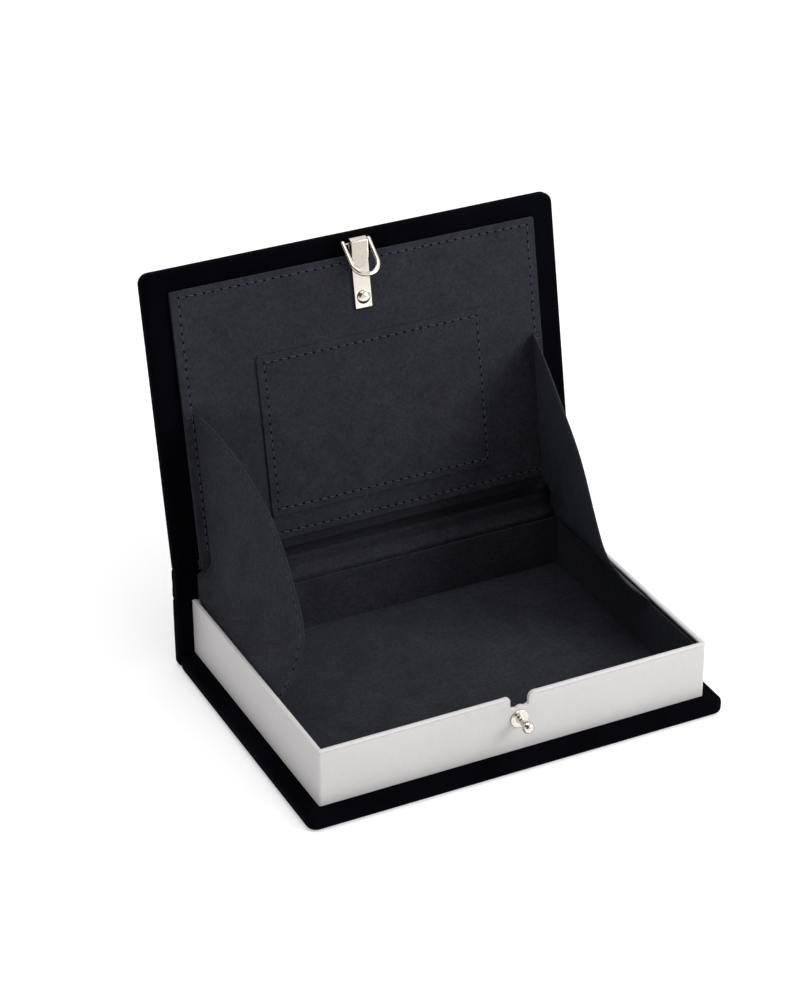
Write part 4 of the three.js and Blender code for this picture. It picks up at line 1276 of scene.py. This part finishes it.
# Along a thread: share of its length, rise out of the cloth, and share of its thickness
THREAD_SHAPE = [
    (-0.5, -0.25, 0.6), (-0.42, 0.02, 0.9), (-0.2, 0.15, 1),
    (0.2, 0.15, 1), (0.42, 0.02, 0.9), (0.5, -0.25, 0.6),
]
for side, word in ((-1, "left"), (1, "right")):
    gusset_halves(side, word)
strap_side = STRAP_HALF + 1.4
panel_runs = [
    run for run in frame_runs(PANEL, 3.7, 3.7, 2.9, 3.4)
    if not (abs(run[0].x - CLASP_X) < strap_side and run[0].y < STRAP[1].y)
]
# Beside the gussets these stitches go through the flange too
flange_top = HINGE.y - GUSSET_EDGE[0][1] * GUSSET_REACH
for place, along, out in panel_runs:
    if abs(place.x) > SEAM_X and place.y > flange_top:
        place.z = SEAM_Z - GUSSET / 2
stitch_mesh("panel_stitches", panel_runs, "lid", LID)
stitch_mesh("pocket_stitches", frame_runs(POCKET, 3.4, 3.4, 3.4, 3.4), "lid", LID)

# Carried-over boards and fastenings
BOARDS = (
    "back_cover_board", "spine_board", "front_cover_board", "front_wall_board", "left_wall_board",
    "right_wall_board", "back_wall_board", "tray_floor_board", "lid_panel_board",
)
for nodes, material in ((BOARDS, GREYBOARD), (("stud_screw", "rivet_burr"), METAL)):
    for node in nodes:
        frame["nodes"][node].data.materials.clear()
        frame["nodes"][node].data.materials.append(material)


# Floor, light and camera
def worked_out(tree, kind, operation, *values):
    """The result of a sum on numbers, vectors and other nodes' results."""
    node = tree.nodes.new(kind)
    node.operation = operation
    return add_node(tree, None, dict(enumerate(values)), node).outputs["Value"]


def mapped(tree, value, start, end, low, high):
    """A value that runs from low to high while another runs from start to end."""
    ends = {"From Min": start, "From Max": end, "To Min": low, "To Max": high}
    return add_node(tree, "ShaderNodeMapRange", {"Value": value, **ends}).outputs["Result"]


def ray_share(tree):
    """1 for what the camera, a gloss or glass sees directly, 0 for light on the object."""
    path = tree.nodes.new("ShaderNodeLightPath").outputs
    glossy = worked_out(tree, "ShaderNodeMath", "MAXIMUM", path["Is Camera Ray"], path["Is Glossy Ray"])
    return worked_out(tree, "ShaderNodeMath", "MAXIMUM", glossy, path["Is Transmission Ray"])


def floor_material():
    """Past the lamps' reach the floor glows more, so that it stays as white as the world behind it."""
    material, tree = new_material("floor")
    colour = tones(tree, mottle(tree, 3, 4), 0.3, 0.7, (228, 228, 229), (233, 233, 234))
    place = tree.nodes.new("ShaderNodeTexCoord").outputs["Object"]
    away = worked_out(tree, "ShaderNodeVectorMath", "LENGTH", place)
    glow = mapped(tree, away, *GLOW_REACH, *GLOW)
    return finish(material, {
        "Base Color": colour, "Roughness": 0.9, "Specular IOR Level": 0.0, "Emission Color": (1, 1, 1, 1),
        "Emission Strength": worked_out(tree, "ShaderNodeMath", "MULTIPLY", ray_share(tree), glow),
    })


# The floor's glow grows from the first strength to the second between these distances in metres
GLOW_REACH = (0.6, 1.2)
GLOW = (0.3, 0.5)
FLOOR_REACH = 6000
ground = mesh_piece(
    "ground", [(x * FLOOR_REACH, y * FLOOR_REACH, 0) for x, y in ((-1, -1), (1, -1), (1, 1), (-1, 1))],
    [(0, 1, 2, 3)], floor_material(), Matrix.Translation((0, 0, -0.05)),
)


def direction(azimuth, elevation):
    """The way from the object to a place round it, from angles in radians."""
    flat = math.cos(elevation)
    return Vector((math.sin(azimuth) * flat, -math.cos(azimuth) * flat, math.sin(elevation)))


def dark_card(tree):
    """1 in a soft disc beside the camera where a gloss sees a dark card, 0 elsewhere."""
    way = direction(*CARD_PLACE)
    place = tree.nodes.new("ShaderNodeTexCoord").outputs["Generated"]
    near = worked_out(tree, "ShaderNodeVectorMath", "DOT_PRODUCT", place, way)
    disc = mapped(tree, near, math.cos(CARD_OUTER), math.cos(CARD_INNER), 0, 1)
    glossy = tree.nodes.new("ShaderNodeLightPath").outputs["Is Glossy Ray"]
    return worked_out(tree, "ShaderNodeMath", "MULTIPLY", disc, glossy)


WORLD_LIGHT = 0.65
CARD_DARKNESS = 0.93
CARD_PLACE = (math.radians(-60), math.radians(38))
CARD_INNER, CARD_OUTER = math.radians(39), math.radians(45)
world = bpy.data.worlds.new("studio")
bpy.context.scene.world = world
world.use_nodes = True
tree = world.node_tree
strength = mapped(tree, ray_share(tree), 0, 1, WORLD_LIGHT, 1)
strength = worked_out(tree, "ShaderNodeMath", "MULTIPLY_ADD", dark_card(tree), -CARD_DARKNESS, strength)
add_node(tree, None, {"Color": (1, 1, 1, 1), "Strength": strength}, tree.nodes["Background"])


def soft_lamp(name, at, size, power):
    lamp = bpy.data.lights.new(name, "AREA")
    lamp.size = size
    lamp.energy = power
    obj = bpy.data.objects.new(name, lamp)
    bpy.context.scene.collection.objects.link(obj)
    obj.location = at
    obj.rotation_euler = (Vector((0, 0, 0.06)) - Vector(at)).to_track_quat("-Z", "Y").to_euler()


soft_lamp("key", (0.90, -0.81, 0.69), 0.7, 13.6)
soft_lamp("top", (-0.1, 0.1, 1.4), 0.9, 7)
soft_lamp("fill", (-1.1, -0.35, 0.25), 0.7, 1.2)

# The camera stands where the photograph was taken from
AZIMUTH = math.radians(-26.10)
ELEVATION = math.radians(29.63)
ROLL = math.radians(-0.33)
DISTANCE = 1344.8
ASIDE, ABOVE = -20.99, 86.61
back = direction(AZIMUTH, ELEVATION)
right = Vector((math.cos(AZIMUTH), math.sin(AZIMUTH), 0))
up = back.cross(right)
right, up = right * math.cos(ROLL) + up * math.sin(ROLL), up * math.cos(ROLL) - right * math.sin(ROLL)
lens = bpy.data.cameras.new("camera")
lens.sensor_fit = "VERTICAL"
lens.sensor_height = 36
lens.lens = 104.5
lens.clip_end = 50
camera = bpy.data.objects.new("camera", lens)
bpy.context.scene.collection.objects.link(camera)
turn = Matrix((right, up, back)).transposed()
camera.matrix_world = Matrix.Translation((back * DISTANCE + right * ASIDE + up * ABOVE) * MM) @ turn.to_4x4()
bpy.context.scene.camera = camera
bpy.context.scene.view_settings.view_transform = "Standard"
